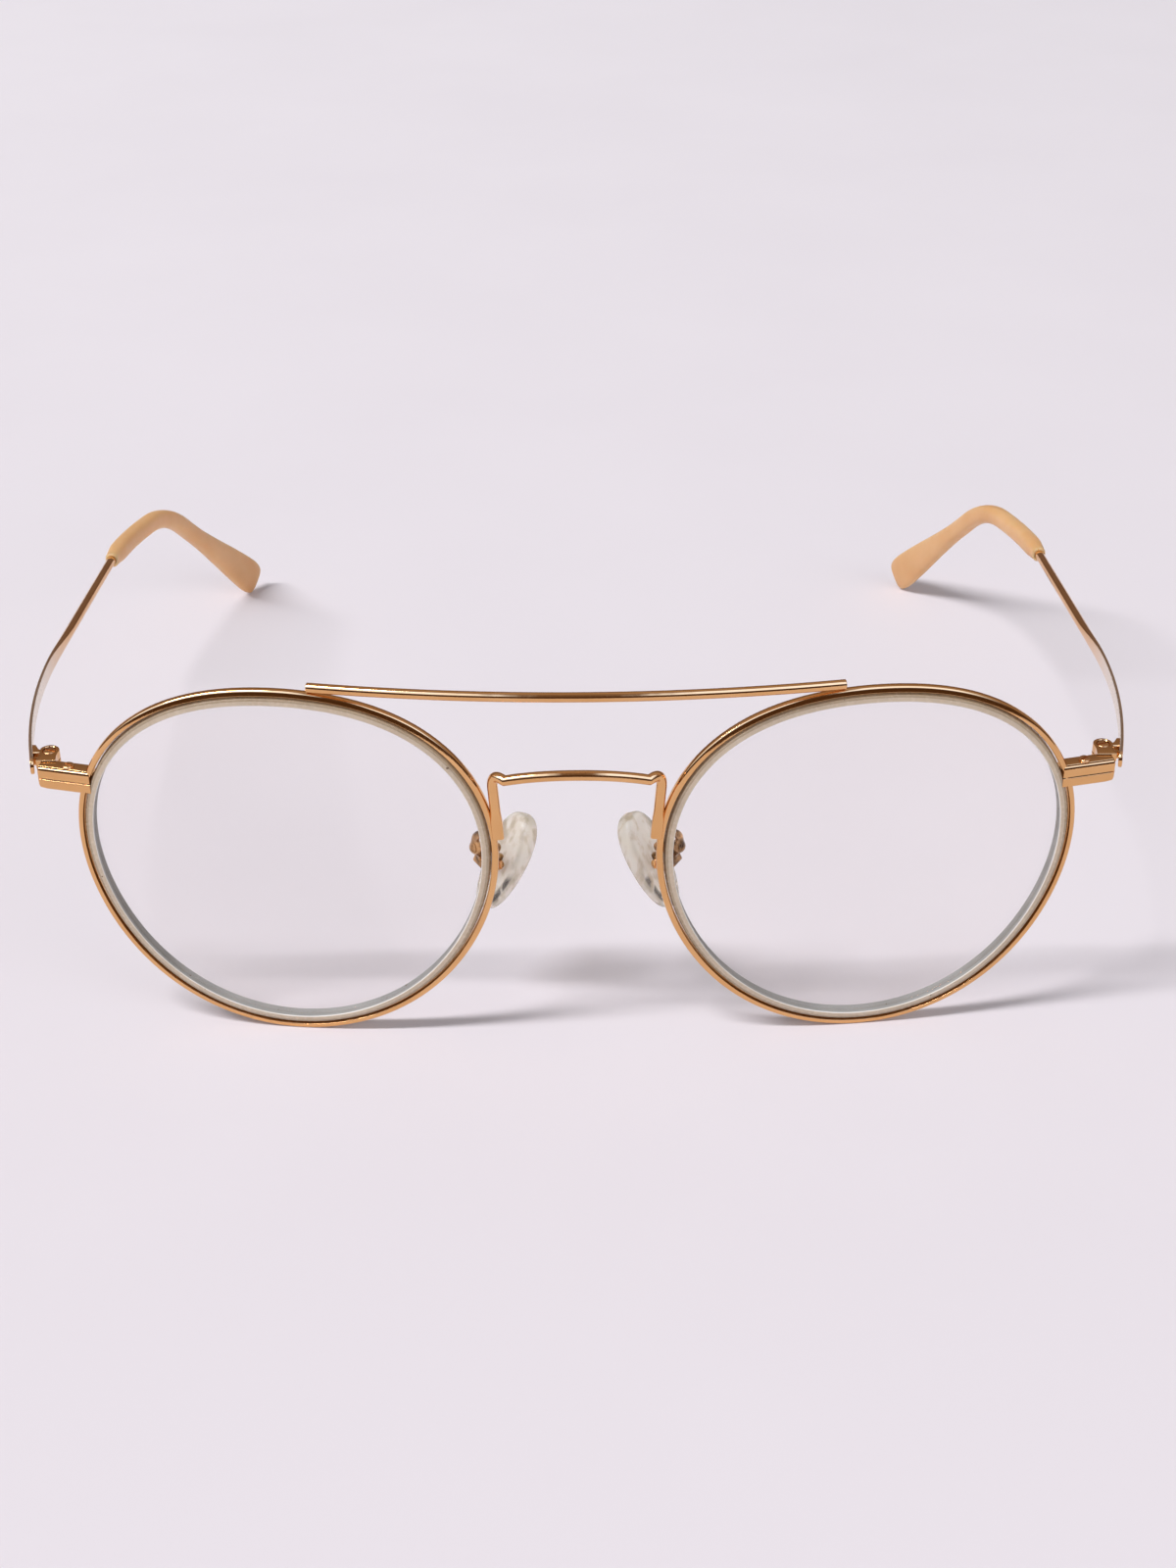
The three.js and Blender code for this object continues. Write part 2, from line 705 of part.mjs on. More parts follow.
function padScrew() {
  const head = boxHalfWide + screwGap;
  const upright = screw(padScrewRadius, padHeadRadius, -boxHalfWide, head, head + padHeadTall);
  return upright.rotateX(Math.PI / 2).translate(lugAxis, 0, 0);
}

function padMatrix(sign) {
  const turn = new THREE.Euler(0, -sign * radians(padTilt), -sign * radians(padSplay), 'ZYX');
  return new THREE.Matrix4().makeRotationFromEuler(turn).setPosition(sign * padX, padY, padZ);
}

// Wire from the back of the rim, round a loop, to the base of the pad box
function padArm(sign) {
  const eye = eyeMatrix(sign);
  const pad = padMatrix(sign);
  const nasal = Math.PI - Math.asin((2 * armHeight) / eyeWidth);
  const inEyeAt = (depth) => inEye(nasal, rimWall / 2, depth, sign).applyMatrix4(eye);
  const inPadAt = (out, z) => new THREE.Vector3(sign * out, 0, z).applyMatrix4(pad);
  const base = boxBase + boxWall + solderGap;
  const points = [
    inEyeAt(rimDepth + solderGap), inEyeAt(rimDepth + armLoop), inPadAt(base + armLoop, loopTop),
    inPadAt(base + armLoop, loopBottom), inPadAt(base, 0),
  ];
  return wire(new THREE.CatmullRomCurve3(points), armRadius, 16);
}

function piece(name, geometry, look) {
  const mesh = new THREE.Mesh(geometry, new THREE.MeshStandardMaterial(look));
  mesh.name = name;
  return mesh;
}

function group(matrix, ...pieces) {
  const holder = new THREE.Group();
  holder.applyMatrix4(matrix);
  holder.add(...pieces);
  return holder;
}

function eyePieces(side, sign) {
  return group(
    eyeMatrix(sign),
    piece(`${side}_rim`, rim(sign), gold),
    piece(`${side}_inner_ring`, innerRing(sign), ringPlastic),
    piece(`${side}_lens`, lens(sign), lensClear),
  );
}

function hingePieces(side, sign) {
  const closing = piece(`${side}_rim_screw`, rimScrew(), screwGold);
  closing.position.copy(rimScrewPlace(sign));
  return group(
    hingeMatrix(sign),
    piece(`${side}_block_upper`, blockUpper(sign), gold),
    piece(`${side}_block_lower`, blockLower(sign), gold),
    closing,
    piece(`${side}_hinge_screw`, hingeScrew(), screwGold),
    piece(`${side}_temple_knuckle`, facedOut(templeKnuckle(sign)), gold),
  );
}

function templePieces(side, sign) {
  return group(
    templeMatrix(sign),
    piece(`${side}_temple`, temple(sign), gold),
    piece(`${side}_temple_tip`, templeTip(sign), tipPlastic),
  );
}

function padPieces(side, sign) {
  const mirrored = (geometry) => facedOut(geometry.scale(sign, 1, 1));
  return group(
    padMatrix(sign),
    piece(`${side}_nose_pad`, mirrored(nosePad()), padClear),
    piece(`${side}_pad_box`, mirrored(padBox()), gold),
    piece(`${side}_pad_screw`, mirrored(padScrew()), screwGold),
  );
}

const glasses = new THREE.Group();
glasses.add(piece('brow_bar', browBar(), gold), piece('bridge', bridge(), gold));
[['left', -1], ['right', 1]].forEach(([side, sign]) => {
  glasses.add(eyePieces(side, sign), hingePieces(side, sign), templePieces(side, sign));
  glasses.add(padPieces(side, sign), piece(`${side}_pad_arm`, padArm(sign), gold));
});

// Lowest point of some pieces once the glasses lean back by an angle
function lowest(names, angle) {
  const point = new THREE.Vector3();
  let low = Infinity;
  names.forEach((name) => {
    const mesh = glasses.getObjectByName(name);
    const place = mesh.geometry.getAttribute('position');
    for (let i = 0; i < place.count; i += 1) {
      point.fromBufferAttribute(place, i).applyMatrix4(mesh.matrixWorld);
      low = Math.min(low, point.y * Math.sin(angle) + point.z * Math.cos(angle));
    }
  });
  return low;
}

// Angle at which the rims and the ear tips all touch the table
function standingAngle() {
  glasses.updateMatrixWorld(true);
  let [low, high] = [-radians(20), radians(20)];
  for (let step = 0; step < 40; step += 1) {
    const middle = (low + high) / 2;
    const tipsHigher = lowest(['left_temple_tip'], middle) > lowest(['left_rim'], middle);
    [low, high] = tipsHigher ? [low, middle] : [middle, high];
  }
  return low;
}

glasses.rotation.x = standingAngle();
const bounds = new THREE.Box3().setFromObject(glasses, true);
const centre = bounds.getCenter(new THREE.Vector3());
glasses.position.set(-centre.x, -centre.y, -bounds.min.z);

const root = new THREE.Group();
root.add(glasses);

export default root;
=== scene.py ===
import json
import math

import bmesh
import bpy
import numpy as np
from mathutils import Matrix, Vector


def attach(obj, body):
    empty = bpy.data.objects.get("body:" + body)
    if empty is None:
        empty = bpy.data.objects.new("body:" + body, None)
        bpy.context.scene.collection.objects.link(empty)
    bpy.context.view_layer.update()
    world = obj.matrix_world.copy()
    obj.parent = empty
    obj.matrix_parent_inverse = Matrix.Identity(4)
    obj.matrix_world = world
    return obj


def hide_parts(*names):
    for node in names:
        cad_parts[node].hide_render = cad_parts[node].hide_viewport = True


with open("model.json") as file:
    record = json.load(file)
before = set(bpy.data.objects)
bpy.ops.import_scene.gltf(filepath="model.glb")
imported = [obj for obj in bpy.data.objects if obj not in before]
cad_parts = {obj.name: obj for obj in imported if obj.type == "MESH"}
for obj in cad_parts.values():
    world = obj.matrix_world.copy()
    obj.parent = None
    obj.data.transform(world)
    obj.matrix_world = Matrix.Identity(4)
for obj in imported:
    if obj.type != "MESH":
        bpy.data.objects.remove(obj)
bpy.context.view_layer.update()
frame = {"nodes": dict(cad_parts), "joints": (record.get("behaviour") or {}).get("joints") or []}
print("frame loaded:", len(frame["nodes"]), "solids")

radians = math.radians
sides = {"left": -1, "right": 1}

# Shared sizes in mm and degrees, in the glasses' own frame:
# x across the front, y back, z up, origin between the eyes on the rims' front plane
eye = {
    "width": 53, "spacing": 72.41, "wrap": 5.6,
    "oval": 0.0152, "taper": 0.0309, "lean": -0.0034, "square": -0.0071,
    "steps": 256,
}
hinge = {"out": 3.295, "back": 5.01, "splitAngle": 25}
eyeHalf = eye["width"] / 2
hingeSpot = np.array([
    (eye["spacing"] + eye["width"]) / 2 + hinge["out"],
    eyeHalf * math.sin(radians(eye["wrap"])) + hinge["back"],
    eyeHalf * math.sin(radians(hinge["splitAngle"])),
])


# The hinge joint gives the lean of the standing glasses and the place of their frame
def frontPlace():
    joint = next(j for j in frame["joints"] if j["name"] == "right_temple_fold")
    axis = Vector(joint["axis"])
    turn = Matrix.Rotation(math.atan2(-axis.y, axis.z), 4, "X")
    origin = Vector(joint["pos_m"]) - turn @ Vector(hingeSpot / 1000)
    return Matrix.Translation(origin) @ turn @ Matrix.Scale(0.001, 4)


frontMatrix = frontPlace()


# Curves and sections

def ease(value, start, end):
    share = np.clip((value - start) / (end - start), 0, 1)
    return share * share * (3 - 2 * share)


def mixed(first, second, share):
    return first + (second - first) * share


def unit(vector):
    return vector / np.linalg.norm(vector, axis=-1, keepdims=True)


def fullTurn(count):
    return np.arange(count) * 2 * math.pi / count


# Quarter round on an end, as pairs of inset from the side and distance from the end
def quarter(radius, count):
    turns = np.linspace(0, math.pi / 2, count)
    return [(radius * (1 - math.sin(a)), radius * (1 - math.cos(a))) for a in turns]


# Closed outline from corners given as x, y and radius
def rounded(corners, steps=5):
    points = []
    for i, (x, y, radius) in enumerate(corners):
        corner = np.array([x, y], float)
        if radius <= 0:
            points.append(corner)
            continue
        before = np.array(corners[i - 1][:2], float) - corner
        after = np.array(corners[(i + 1) % len(corners)][:2], float) - corner
        room = 0.49 * min(np.linalg.norm(before), np.linalg.norm(after))  # just under half the shorter side
        before, after = unit(before), unit(after)
        half = math.acos(np.clip(before @ after, -1, 1)) / 2
        reach = min(radius / math.tan(half), room)
        bend = reach * math.tan(half)
        centre = corner + unit(before + after) * bend / math.sin(half)
        first, last = corner + before * reach - centre, corner + after * reach - centre
        start = math.atan2(first[1], first[0])
        sweep = (math.atan2(last[1], last[0]) - start + math.pi) % (2 * math.pi) - math.pi
        for k in range(steps + 1):
            angle = start + sweep * k / steps
            points.append(centre + bend * np.array([math.cos(angle), math.sin(angle)]))
    return np.array(points)


def ovalSection(halfWide, halfTall, count, squareness=1.0):
    angles = fullTurn(count)
    cosine, sine = np.cos(angles), np.sin(angles)
    wide = np.sign(cosine) * np.abs(cosine) ** squareness
    tall = np.sign(sine) * np.abs(sine) ** squareness
    return np.stack([halfWide * wide, halfTall * tall], -1)


def bezier(points, count):
    t = np.linspace(0, 1, count)[:, None]
    first, bend, last = (np.array(p, float) for p in points)
    return (1 - t) ** 2 * first + 2 * t * (1 - t) * bend + t * t * last


# Smooth curve through points, spaced by their distances
def throughPoints(points, count):
    points = [np.array(p, float) for p in points]
    points = [2 * points[0] - points[1], *points, 2 * points[-1] - points[-2]]
    t = np.linspace(0, 1, count, endpoint=False)[:, None]
    rows = []
    for p0, p1, p2, p3 in zip(points, points[1:], points[2:], points[3:]):
        d0, d1, d2 = (math.sqrt(np.linalg.norm(b - a)) for a, b in ((p0, p1), (p1, p2), (p2, p3)))
        leave = ((p1 - p0) / d0 - (p2 - p0) / (d0 + d1) + (p2 - p1) / d1) * d1
        arrive = ((p2 - p1) / d1 - (p3 - p1) / (d1 + d2) + (p3 - p2) / d2) * d1
        rows.append((2 * t**3 - 3 * t**2 + 1) * p1 + (t**3 - 2 * t**2 + t) * leave
                    + (3 * t**2 - 2 * t**3) * p2 + (t**3 - t**2) * arrive)
    return np.vstack([*rows, points[-2][None]])


# Meshes

# Skin over equal rows of points: a closed loop of rows, or a run capped at both ends
def skin(rows, loop=False):
    rows = np.array(rows)
    count, around = rows.shape[:2]
    faces = []
    for i in range(count if loop else count - 1):
        j = (i + 1) % count
        for k in range(around):
            m = (k + 1) % around
            faces.append((i * around + k, i * around + m, j * around + m, j * around + k))
    if not loop:
        faces.append(tuple(reversed(range(around))))
        faces.append(tuple((count - 1) * around + k for k in range(around)))
    return rows.reshape(-1, 3), faces


# Tube along a path. Radii may change along it, and its cut ends are eased by a small round.
def tube(path, radius, around, edge):
    path = np.array(path, float)
    radii = np.broadcast_to(np.asarray(radius, float), len(path))
    ahead = unit(np.gradient(path, axis=0))
    across = unit(np.cross(ahead[0], [0.31, 0.2, 0.93]))  # any direction off the path's start
    ring = fullTurn(around)[:, None]
    rows = []
    for i, (spot, forward) in enumerate(zip(path, ahead)):
        across = unit(across - forward * (across @ forward))
        spokes = np.cos(ring) * across + np.sin(ring) * np.cross(forward, across)
        stops = [(0, 0)]
        if i == 0:
            stops = quarter(edge, 5)
        elif i == len(path) - 1:
            stops = [(inset, -far) for inset, far in quarter(edge, 5)[::-1]]
        rows += [spot + forward * far + spokes * (radii[i] - inset) for inset, far in stops]
    return skin(rows)


# Upright turned piece from radius and height pairs, bottom to top
def turned(profile, around=40):
    ring = fullTurn(around)
    return skin([np.stack([r * np.cos(ring), r * np.sin(ring), z + 0 * ring], -1) for r, z in profile])


def moved(shell, matrix):
    points, faces = shell
    turn = np.array(matrix)
    return points @ turn[:3, :3].T + turn[:3, 3], faces


def sided(shell, sign):
    points, faces = shell
    return points * np.array([sign, 1, 1]), faces


def rawObject(name, shell):
    points, faces = shell
    mesh = bpy.data.meshes.new(name)
    mesh.from_pydata(points.tolist(), [], faces)
    loose = bmesh.new()
    loose.from_mesh(mesh)
    bmesh.ops.recalc_face_normals(loose, faces=loose.faces)
    loose.to_mesh(mesh)
    loose.free()
    made = bpy.data.objects.new(name, mesh)
    bpy.context.scene.collection.objects.link(made)
    return made


def carve(body, shell, operation="DIFFERENCE"):
    tool = rawObject("cutter", shell)
    change = body.modifiers.new("cut", "BOOLEAN")
    change.object, change.operation, change.solver = tool, operation, "EXACT"
    graph = bpy.context.evaluated_depsgraph_get()
    mesh = bpy.data.meshes.new_from_object(body.evaluated_get(graph))
    body.modifiers.clear()
    body.data = mesh
    bpy.data.objects.remove(tool)
    return body


# Marks points of a piece for its finish, from 0 to 1
def mark(piece, name, values):
    piece.data.attributes.new(name, "FLOAT", "POINT").data.foreach_set("value", values)


# Puts a piece built in millimetres where the frame says, ties it to its body and hides the solid it stands
# for
def place(piece, finish, body, node, crease=38):
    mesh = piece.data
    mesh.transform(frontMatrix)
    mesh.shade_smooth()
    mesh.set_sharp_from_angle(angle=radians(crease))
    mesh.materials.clear()
    mesh.materials.append(finish["material"])
    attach(piece, body)
    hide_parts(node)
    return piece


# Finishes

# Adds a node, applies its settings and fills its sockets with values or links
def addNode(tree, kind, sockets=None, **settings):
    node = tree.nodes.new("ShaderNode" + kind)
    for name, value in settings.items():
        setattr(node, name, value)
    for name, value in (sockets or {}).items():
        if isinstance(value, bpy.types.NodeSocket):
            tree.links.new(value, node.inputs[name])
        else:
            node.inputs[name].default_value = value
    return node


def newMaterial(name):
    material = bpy.data.materials.new(name)
    material.use_nodes = True
    material.node_tree.nodes.clear()
    return material, material.node_tree


# Joins the last shader to the output, and keeps the slot, the finish's name, with it.
def finished(material, shader, slot=None):
    addNode(material.node_tree, "OutputMaterial", {"Surface": shader.outputs[0]})
    return {"material": material, "slot": slot}


def noiseAt(tree, scale, detail=3, stretch=(1, 1, 1)):
    spots = addNode(tree, "TexCoord").outputs["Object"]
    sized = addNode(tree, "Mapping", {"Vector": spots, "Scale": stretch}).outputs["Vector"]
    sockets = {"Vector": sized, "Scale": scale, "Detail": detail}
    return addNode(tree, "TexNoise", sockets).outputs["Fac"]


def ramp(tree, source, stops):
    colours = addNode(tree, "ValToRGB", {"Fac": source})
    elements = colours.color_ramp.elements
    while len(elements) < len(stops):
        elements.new(0.5)
    for element, (spot, colour) in zip(elements, stops):
        element.position = spot
        element.color = (*colour, 1)
    return colours.outputs["Color"]


def greys(tree, source, stops):
    return ramp(tree, source, [(spot, (grey,) * 3) for spot, grey in stops])


noiseSpread = (0.3, 0.7)  # where nearly all of a noise lies


def twoTone(tree, source, look):
    return ramp(tree, source, list(zip(noiseSpread, (look["deep"], look["pale"]))))


def between(tree, source, low, high):
    start, end = noiseSpread
    return addNode(tree, "MapRange", {
        "Value": source, "From Min": start, "From Max": end, "To Min": low, "To Max": high,
    }).outputs["Result"]


def glossOf(tree, look, detail=3):
    return between(tree, noiseAt(tree, look["polish"], detail), *look["gloss"])


def bumpFrom(tree, source, strength, distance):
    sockets = {"Height": source, "Strength": strength, "Distance": distance}
    return addNode(tree, "Bump", sockets).outputs["Normal"]


def calc(tree, operation, *values):
    return addNode(tree, "Math", dict(enumerate(values)), operation=operation).outputs["Value"]


def mixColour(tree, share, colour, other):
    sockets = {"Factor": share, "A": colour, "B": (*other, 1)}
    return addNode(tree, "Mix", sockets, data_type="RGBA").outputs["Result"]


def mixShader(tree, share, first, second):
    return addNode(tree, "MixShader", {"Fac": share, 1: first.outputs[0], 2: second.outputs[0]})


def markOn(tree, name):
    return addNode(tree, "Attribute", attribute_name=name).outputs["Fac"]


def shadowRays(tree):
    return addNode(tree, "LightPath").outputs["Is Shadow Ray"]


# Light that spreads inside a plastic
def glowing(look):
    return {"Subsurface Weight": look["glow"], "Subsurface Radius": look["scatter"],
            "Subsurface Scale": look["scatterReach"]}


goldLook = {
    "pale": (0.80, 0.46, 0.20), "deep": (0.73, 0.395, 0.155), "patch": 160,
    "gloss": (0.06, 0.11), "polish": 2600, "ripple": 0.2, "rippleSize": 420, "rippleDeep": 0.0001,
}
# Pad arms and boxes: gold mottled with near-black patches, painted dark reflections and shade
armShadeLook = {
    **goldLook, "pale": (0.74, 0.42, 0.18), "deep": (0.11, 0.065, 0.04), "patch": 640, "gloss": (0.1, 0.22),
}
screwLook = {**goldLook, "deep": (0.66, 0.34, 0.15), "gloss": (0.2, 0.32)}
# Temple gold carries a painted reflection: a paler, rougher part for the blade's inner face
templeLook = {**goldLook, "paintedSheen": (0.83, 0.735, 0.62), "paintedSheenRough": 0.18}


# Gold plating, with a painted reflection where a look has a pale part and its piece is marked for it: paler
# colour there, and rougher
def goldFinish(name, look, slot):
    material, tree = newMaterial(name)
    colour = twoTone(tree, noiseAt(tree, look["patch"], 2), look)
    gloss = glossOf(tree, look, 4)
    if "paintedSheen" in look:
        where = markOn(tree, "paintedSheen")
        colour = mixColour(tree, where, colour, look["paintedSheen"])
        gloss = calc(tree, "MULTIPLY_ADD", where, look["paintedSheenRough"], gloss)
    ripple = noiseAt(tree, look["rippleSize"], 1)
    shader = addNode(tree, "BsdfPrincipled", {
        "Metallic": 1, "Base Color": colour, "Roughness": gloss,
        "Normal": bumpFrom(tree, ripple, look["ripple"], look["rippleDeep"]),
    })
    return finished(material, shader, slot)


ringLook = {
    "pale": (0.59, 0.49, 0.375), "deep": (0.53, 0.435, 0.33), "cloud": 220,
    "speck": (0.16, 0.10, 0.06), "speckSize": 1500, "speckEdge": ((0.77, 0), (0.81, 1)),
    "gloss": (0.2, 0.32), "polish": 1800, "shine": 0.5,
    "glow": 0.35, "scatter": (1, 0.85, 0.7), "scatterReach": 0.0012,
}
# The ring's wall round the lens and its outer shoulder are darker copies of its plastic, painted shade; its
# front lip is a paler, glossier copy, a painted highlight
ringWallShadeLook = {
    **ringLook, "pale": (0.37, 0.365, 0.36), "deep": (0.31, 0.305, 0.30),
    "gloss": (0.4, 0.5), "glow": 0.0, "shine": 0.15,
}
ringShoulderShadeLook = {**ringLook, "pale": (0.42, 0.325, 0.225), "deep": (0.37, 0.28, 0.19)}
ringLipHighlightLook = {**ringLook, "pale": (0.74, 0.70, 0.66), "deep": (0.68, 0.63, 0.58), "gloss": (0.08, 0.14)}


def ringFinish(name, look):
    material, tree = newMaterial(name)
    colour = twoTone(tree, noiseAt(tree, look["cloud"]), look)
    specks = greys(tree, noiseAt(tree, look["speckSize"], 1), look["speckEdge"])
    shader = addNode(tree, "BsdfPrincipled", {
        "Base Color": mixColour(tree, specks, colour, look["speck"]), "Roughness": glossOf(tree, look),
        "Specular IOR Level": look["shine"], **glowing(look),
    })
    return finished(material, shader, "ring_plastic")


lensLook = {
    "tint": (0.992, 0.99, 0.992), "mirror": (0.85, 0.66, 0.45), "gloss": (0.0, 0.02), "polish": 60,
    "steep": 4, "mirrorShare": ((0, 0.015), (1, 0.7)),
}


# Clear from the front and a mirror at steep angles. Light for shadows passes through.
def lensFinish():
    look = lensLook
    material, tree = newMaterial("clearLens")
    through = addNode(tree, "BsdfTransparent", {"Color": (*look["tint"], 1)})
    mirror = addNode(tree, "BsdfGlossy", {"Color": (*look["mirror"], 1), "Roughness": glossOf(tree, look)})
    facing = addNode(tree, "LayerWeight", {"Blend": 0.5}).outputs["Facing"]
    share = greys(tree, calc(tree, "POWER", facing, look["steep"]), look["mirrorShare"])
    seen = mixShader(tree, share, through, mirror)
    return finished(material, mixShader(tree, shadowRays(tree), seen, through), "lens_clear")


tipLook = {
    "pale": (0.70, 0.425, 0.21), "deep": (0.64, 0.355, 0.155), "flow": 130,
    "gloss": (0.38, 0.5), "polish": 900,
    "glow": 0.85, "scatter": (1, 0.9, 0.8), "scatterReach": 0.003,
    "grain": 0.06, "grainSize": 5200, "grainDeep": 0.00005,
}


def tipFinish():
    look = tipLook
    material, tree = newMaterial("caramelTip")
    grain = noiseAt(tree, look["grainSize"], 2)
    shader = addNode(tree, "BsdfPrincipled", {
        "Base Color": twoTone(tree, noiseAt(tree, look["flow"]), look), "Roughness": glossOf(tree, look),
        "Normal": bumpFrom(tree, grain, look["grain"], look["grainDeep"]), **glowing(look),
    })
    return finished(material, shader, "tip_plastic")


padLook = {
    "cloud": ((0.36, (0.62, 0.54, 0.43)), (0.52, (0.94, 0.895, 0.815))),
    "cloudSize": 760, "cloudStretch": (1, 1, 0.35),
    # The dark streak colour is a painted dark reflection at the pad's edge
    "paintedDarkReflection": (0.09, 0.085, 0.08), "streakEdge": ((0.4, 0), (0.5, 1)),
    "streakSize": 800, "streakStretch": (1, 1, 0.3),
    "milk": 0.36, "refraction": 1.41, "gloss": (0.05, 0.14), "polish": 900, "shadow": (0.35, 0.33, 0.31),
    "glow": 0.6, "scatter": (1, 0.9, 0.8), "scatterReach": 0.002,
    "wave": 0.28, "waveSize": 700, "waveDeep": 0.0003,
}


# Cloudy clear silicone with dark streaks, painted dark reflections, where the pad is marked as edge.
# Part of the light for shadows passes through.
def padFinish():
    look = padLook
    material, tree = newMaterial("clearSilicone")
    colour = ramp(tree, noiseAt(tree, look["cloudSize"], 5, look["cloudStretch"]), look["cloud"])
    patches = greys(tree, noiseAt(tree, look["streakSize"], 3, look["streakStretch"]), look["streakEdge"])
    paintedReflections = calc(tree, "MULTIPLY", markOn(tree, "edge"), patches)
    wave = noiseAt(tree, look["waveSize"], 2)
    shader = addNode(tree, "BsdfPrincipled", {
        "Base Color": mixColour(tree, paintedReflections, colour, look["paintedDarkReflection"]), "Roughness": glossOf(tree, look),
        "Normal": bumpFrom(tree, wave, look["wave"], look["waveDeep"]),
        "Transmission Weight": 1 - look["milk"], "IOR": look["refraction"], **glowing(look),
    })
    through = addNode(tree, "BsdfTransparent", {"Color": (*look["shadow"], 1)})
    return finished(material, mixShader(tree, shadowRays(tree), shader, through), "pad_silicone")


roseGold = goldFinish("roseGold", goldLook, "rose_gold")
screwGold = goldFinish("screwGold", screwLook, "screw_gold")
templeGold = goldFinish("templeGold", templeLook, "rose_gold")
# The arm gold's near-black patches are painted dark reflections and shade
armShadeGold = goldFinish("armShadeGold", armShadeLook, "rose_gold")
frostedRing = ringFinish("frostedRing", ringLook)
# Painted shade for the ring's wall and shoulder, painted highlight for its lip
ringWallShade = ringFinish("ringWallShade", ringWallShadeLook)
ringLipHighlight = ringFinish("ringLipHighlight", ringLipHighlightLook)
ringShoulderShade = ringFinish("ringShoulderShade", ringShoulderShadeLook)
clearLens = lensFinish()
caramelTip = tipFinish()
clearSilicone = padFinish()
print("finishes made")


# Eye outline: x to the temple side, y up

def waveOutline(angle):
    reach = (1 + eye["oval"] * np.cos(2 * angle) + eye["taper"] * np.sin(3 * angle)
             + eye["lean"] * np.cos(3 * angle) + eye["square"] * np.cos(4 * angle))
    return np.stack([reach * np.cos(angle), reach * np.sin(angle)], -1)


fineOutline = waveOutline(np.linspace(0, 2 * math.pi, 4096, endpoint=False))
outlineLow, outlineHigh = fineOutline.min(0), fineOutline.max(0)
outlineScale = eye["width"] / (outlineHigh - outlineLow)[0]
eyeHalfTall = (outlineHigh - outlineLow)[1] * outlineScale / 2


def outline(angle, inset):
    angle = np.asarray(angle, float)
    ahead = unit(waveOutline(angle + 1e-4) - waveOutline(angle - 1e-4))
    point = (waveOutline(angle) - (outlineLow + outlineHigh) / 2) * outlineScale
    return point + np.stack([-ahead[..., 1], ahead[..., 0]], -1) * np.asarray(inset)[..., None]


def eyePlace(sign):
    return (Matrix.Translation((sign * eye["spacing"] / 2, 0, 0))
            @ Matrix.Rotation(sign * radians(eye["wrap"]), 4, "Z"))


# Rows of a section, given as inset and depth, carried round the eye outline.
# There is one section for all angles, or one for each.
def roundEye(section, angles, sign):
    rows = []
    for angle, shape in zip(angles, np.broadcast_to(section, (len(angles), *section.shape[-2:]))):
        spots = outline(np.full(len(shape), angle), shape[:, 0])
        rows.append(np.stack([sign * spots[:, 0], shape[:, 1], spots[:, 1]], -1))
    return rows


rimSize = {
    "wall": 0.85, "depth": 1.15, "groove": 0.6, "backRound": 0.3, "lipRound": 0.04, "slit": 0.3,
    "upper": {"slope": 24, "bow": 0.5, "lip": 0.72}, "lower": {"slope": 9, "bow": 0.3, "lip": 0.75},
    "lowerTo": -0.6, "upperFrom": 0.2,  # the two blend between these heights, shares of the eye's half
}
ringSize = {
    "gap": 0.1, "wall": 1.1, "step": 0.2, "band": 0.48, "lip": 0.1, "lipRound": 0.03,
    "proud": 0.08, "low": 0.03, "shoulder": 0.5, "depth": 1.6, "wallFront": 0.06,
}
lensSize = {"middle": 0.95, "half": 0.5, "bevel": 0.45, "bulge": 2.3, "steps": 160, "rings": 14}
ringOuter = rimSize["wall"] + ringSize["gap"]
ringInner = ringOuter + ringSize["wall"]
lensEdge = ringInner + ringSize["gap"]


# Rim section: a round outer edge, a front face sloping to the lip, the groove for the ring and the back
def rimSection(slope, bow, lip):
    s = rimSize
    turns = np.radians(np.linspace(90, slope, 13))
    reach = bow * (1 - math.sin(turns[-1]))
    middle = (lip - reach) * math.tan(turns[-1]) + bow * math.cos(turns[-1])
    face = [(bow * (1 - math.sin(a)), middle - bow * math.cos(a), 0) for a in turns]
    return rounded([
        *face, (lip, 0, s["lipRound"]), (lip + 0.02, s["groove"], s["lipRound"]),
        (s["wall"], s["groove"], 0.03), (s["wall"], s["depth"], 0.05), (0, s["depth"], s["backRound"]),
    ])


def buildRim(side, sign):
    s = rimSize
    half = s["slit"] / eye["width"]
    start = radians(hinge["splitAngle"]) + half
    angles = start + np.linspace(0, 2 * math.pi - 2 * half, eye["steps"] + 1)
    share = ease(np.sin(angles), s["lowerTo"], s["upperFrom"])[:, None, None]
    sections = mixed(rimSection(**s["lower"]), rimSection(**s["upper"]), share)
    shell = moved(skin(roundEye(sections, angles, sign)), eyePlace(sign))
    place(rawObject(f"{side}-rim-wire", shell), roseGold, "front", f"{side}_rim")


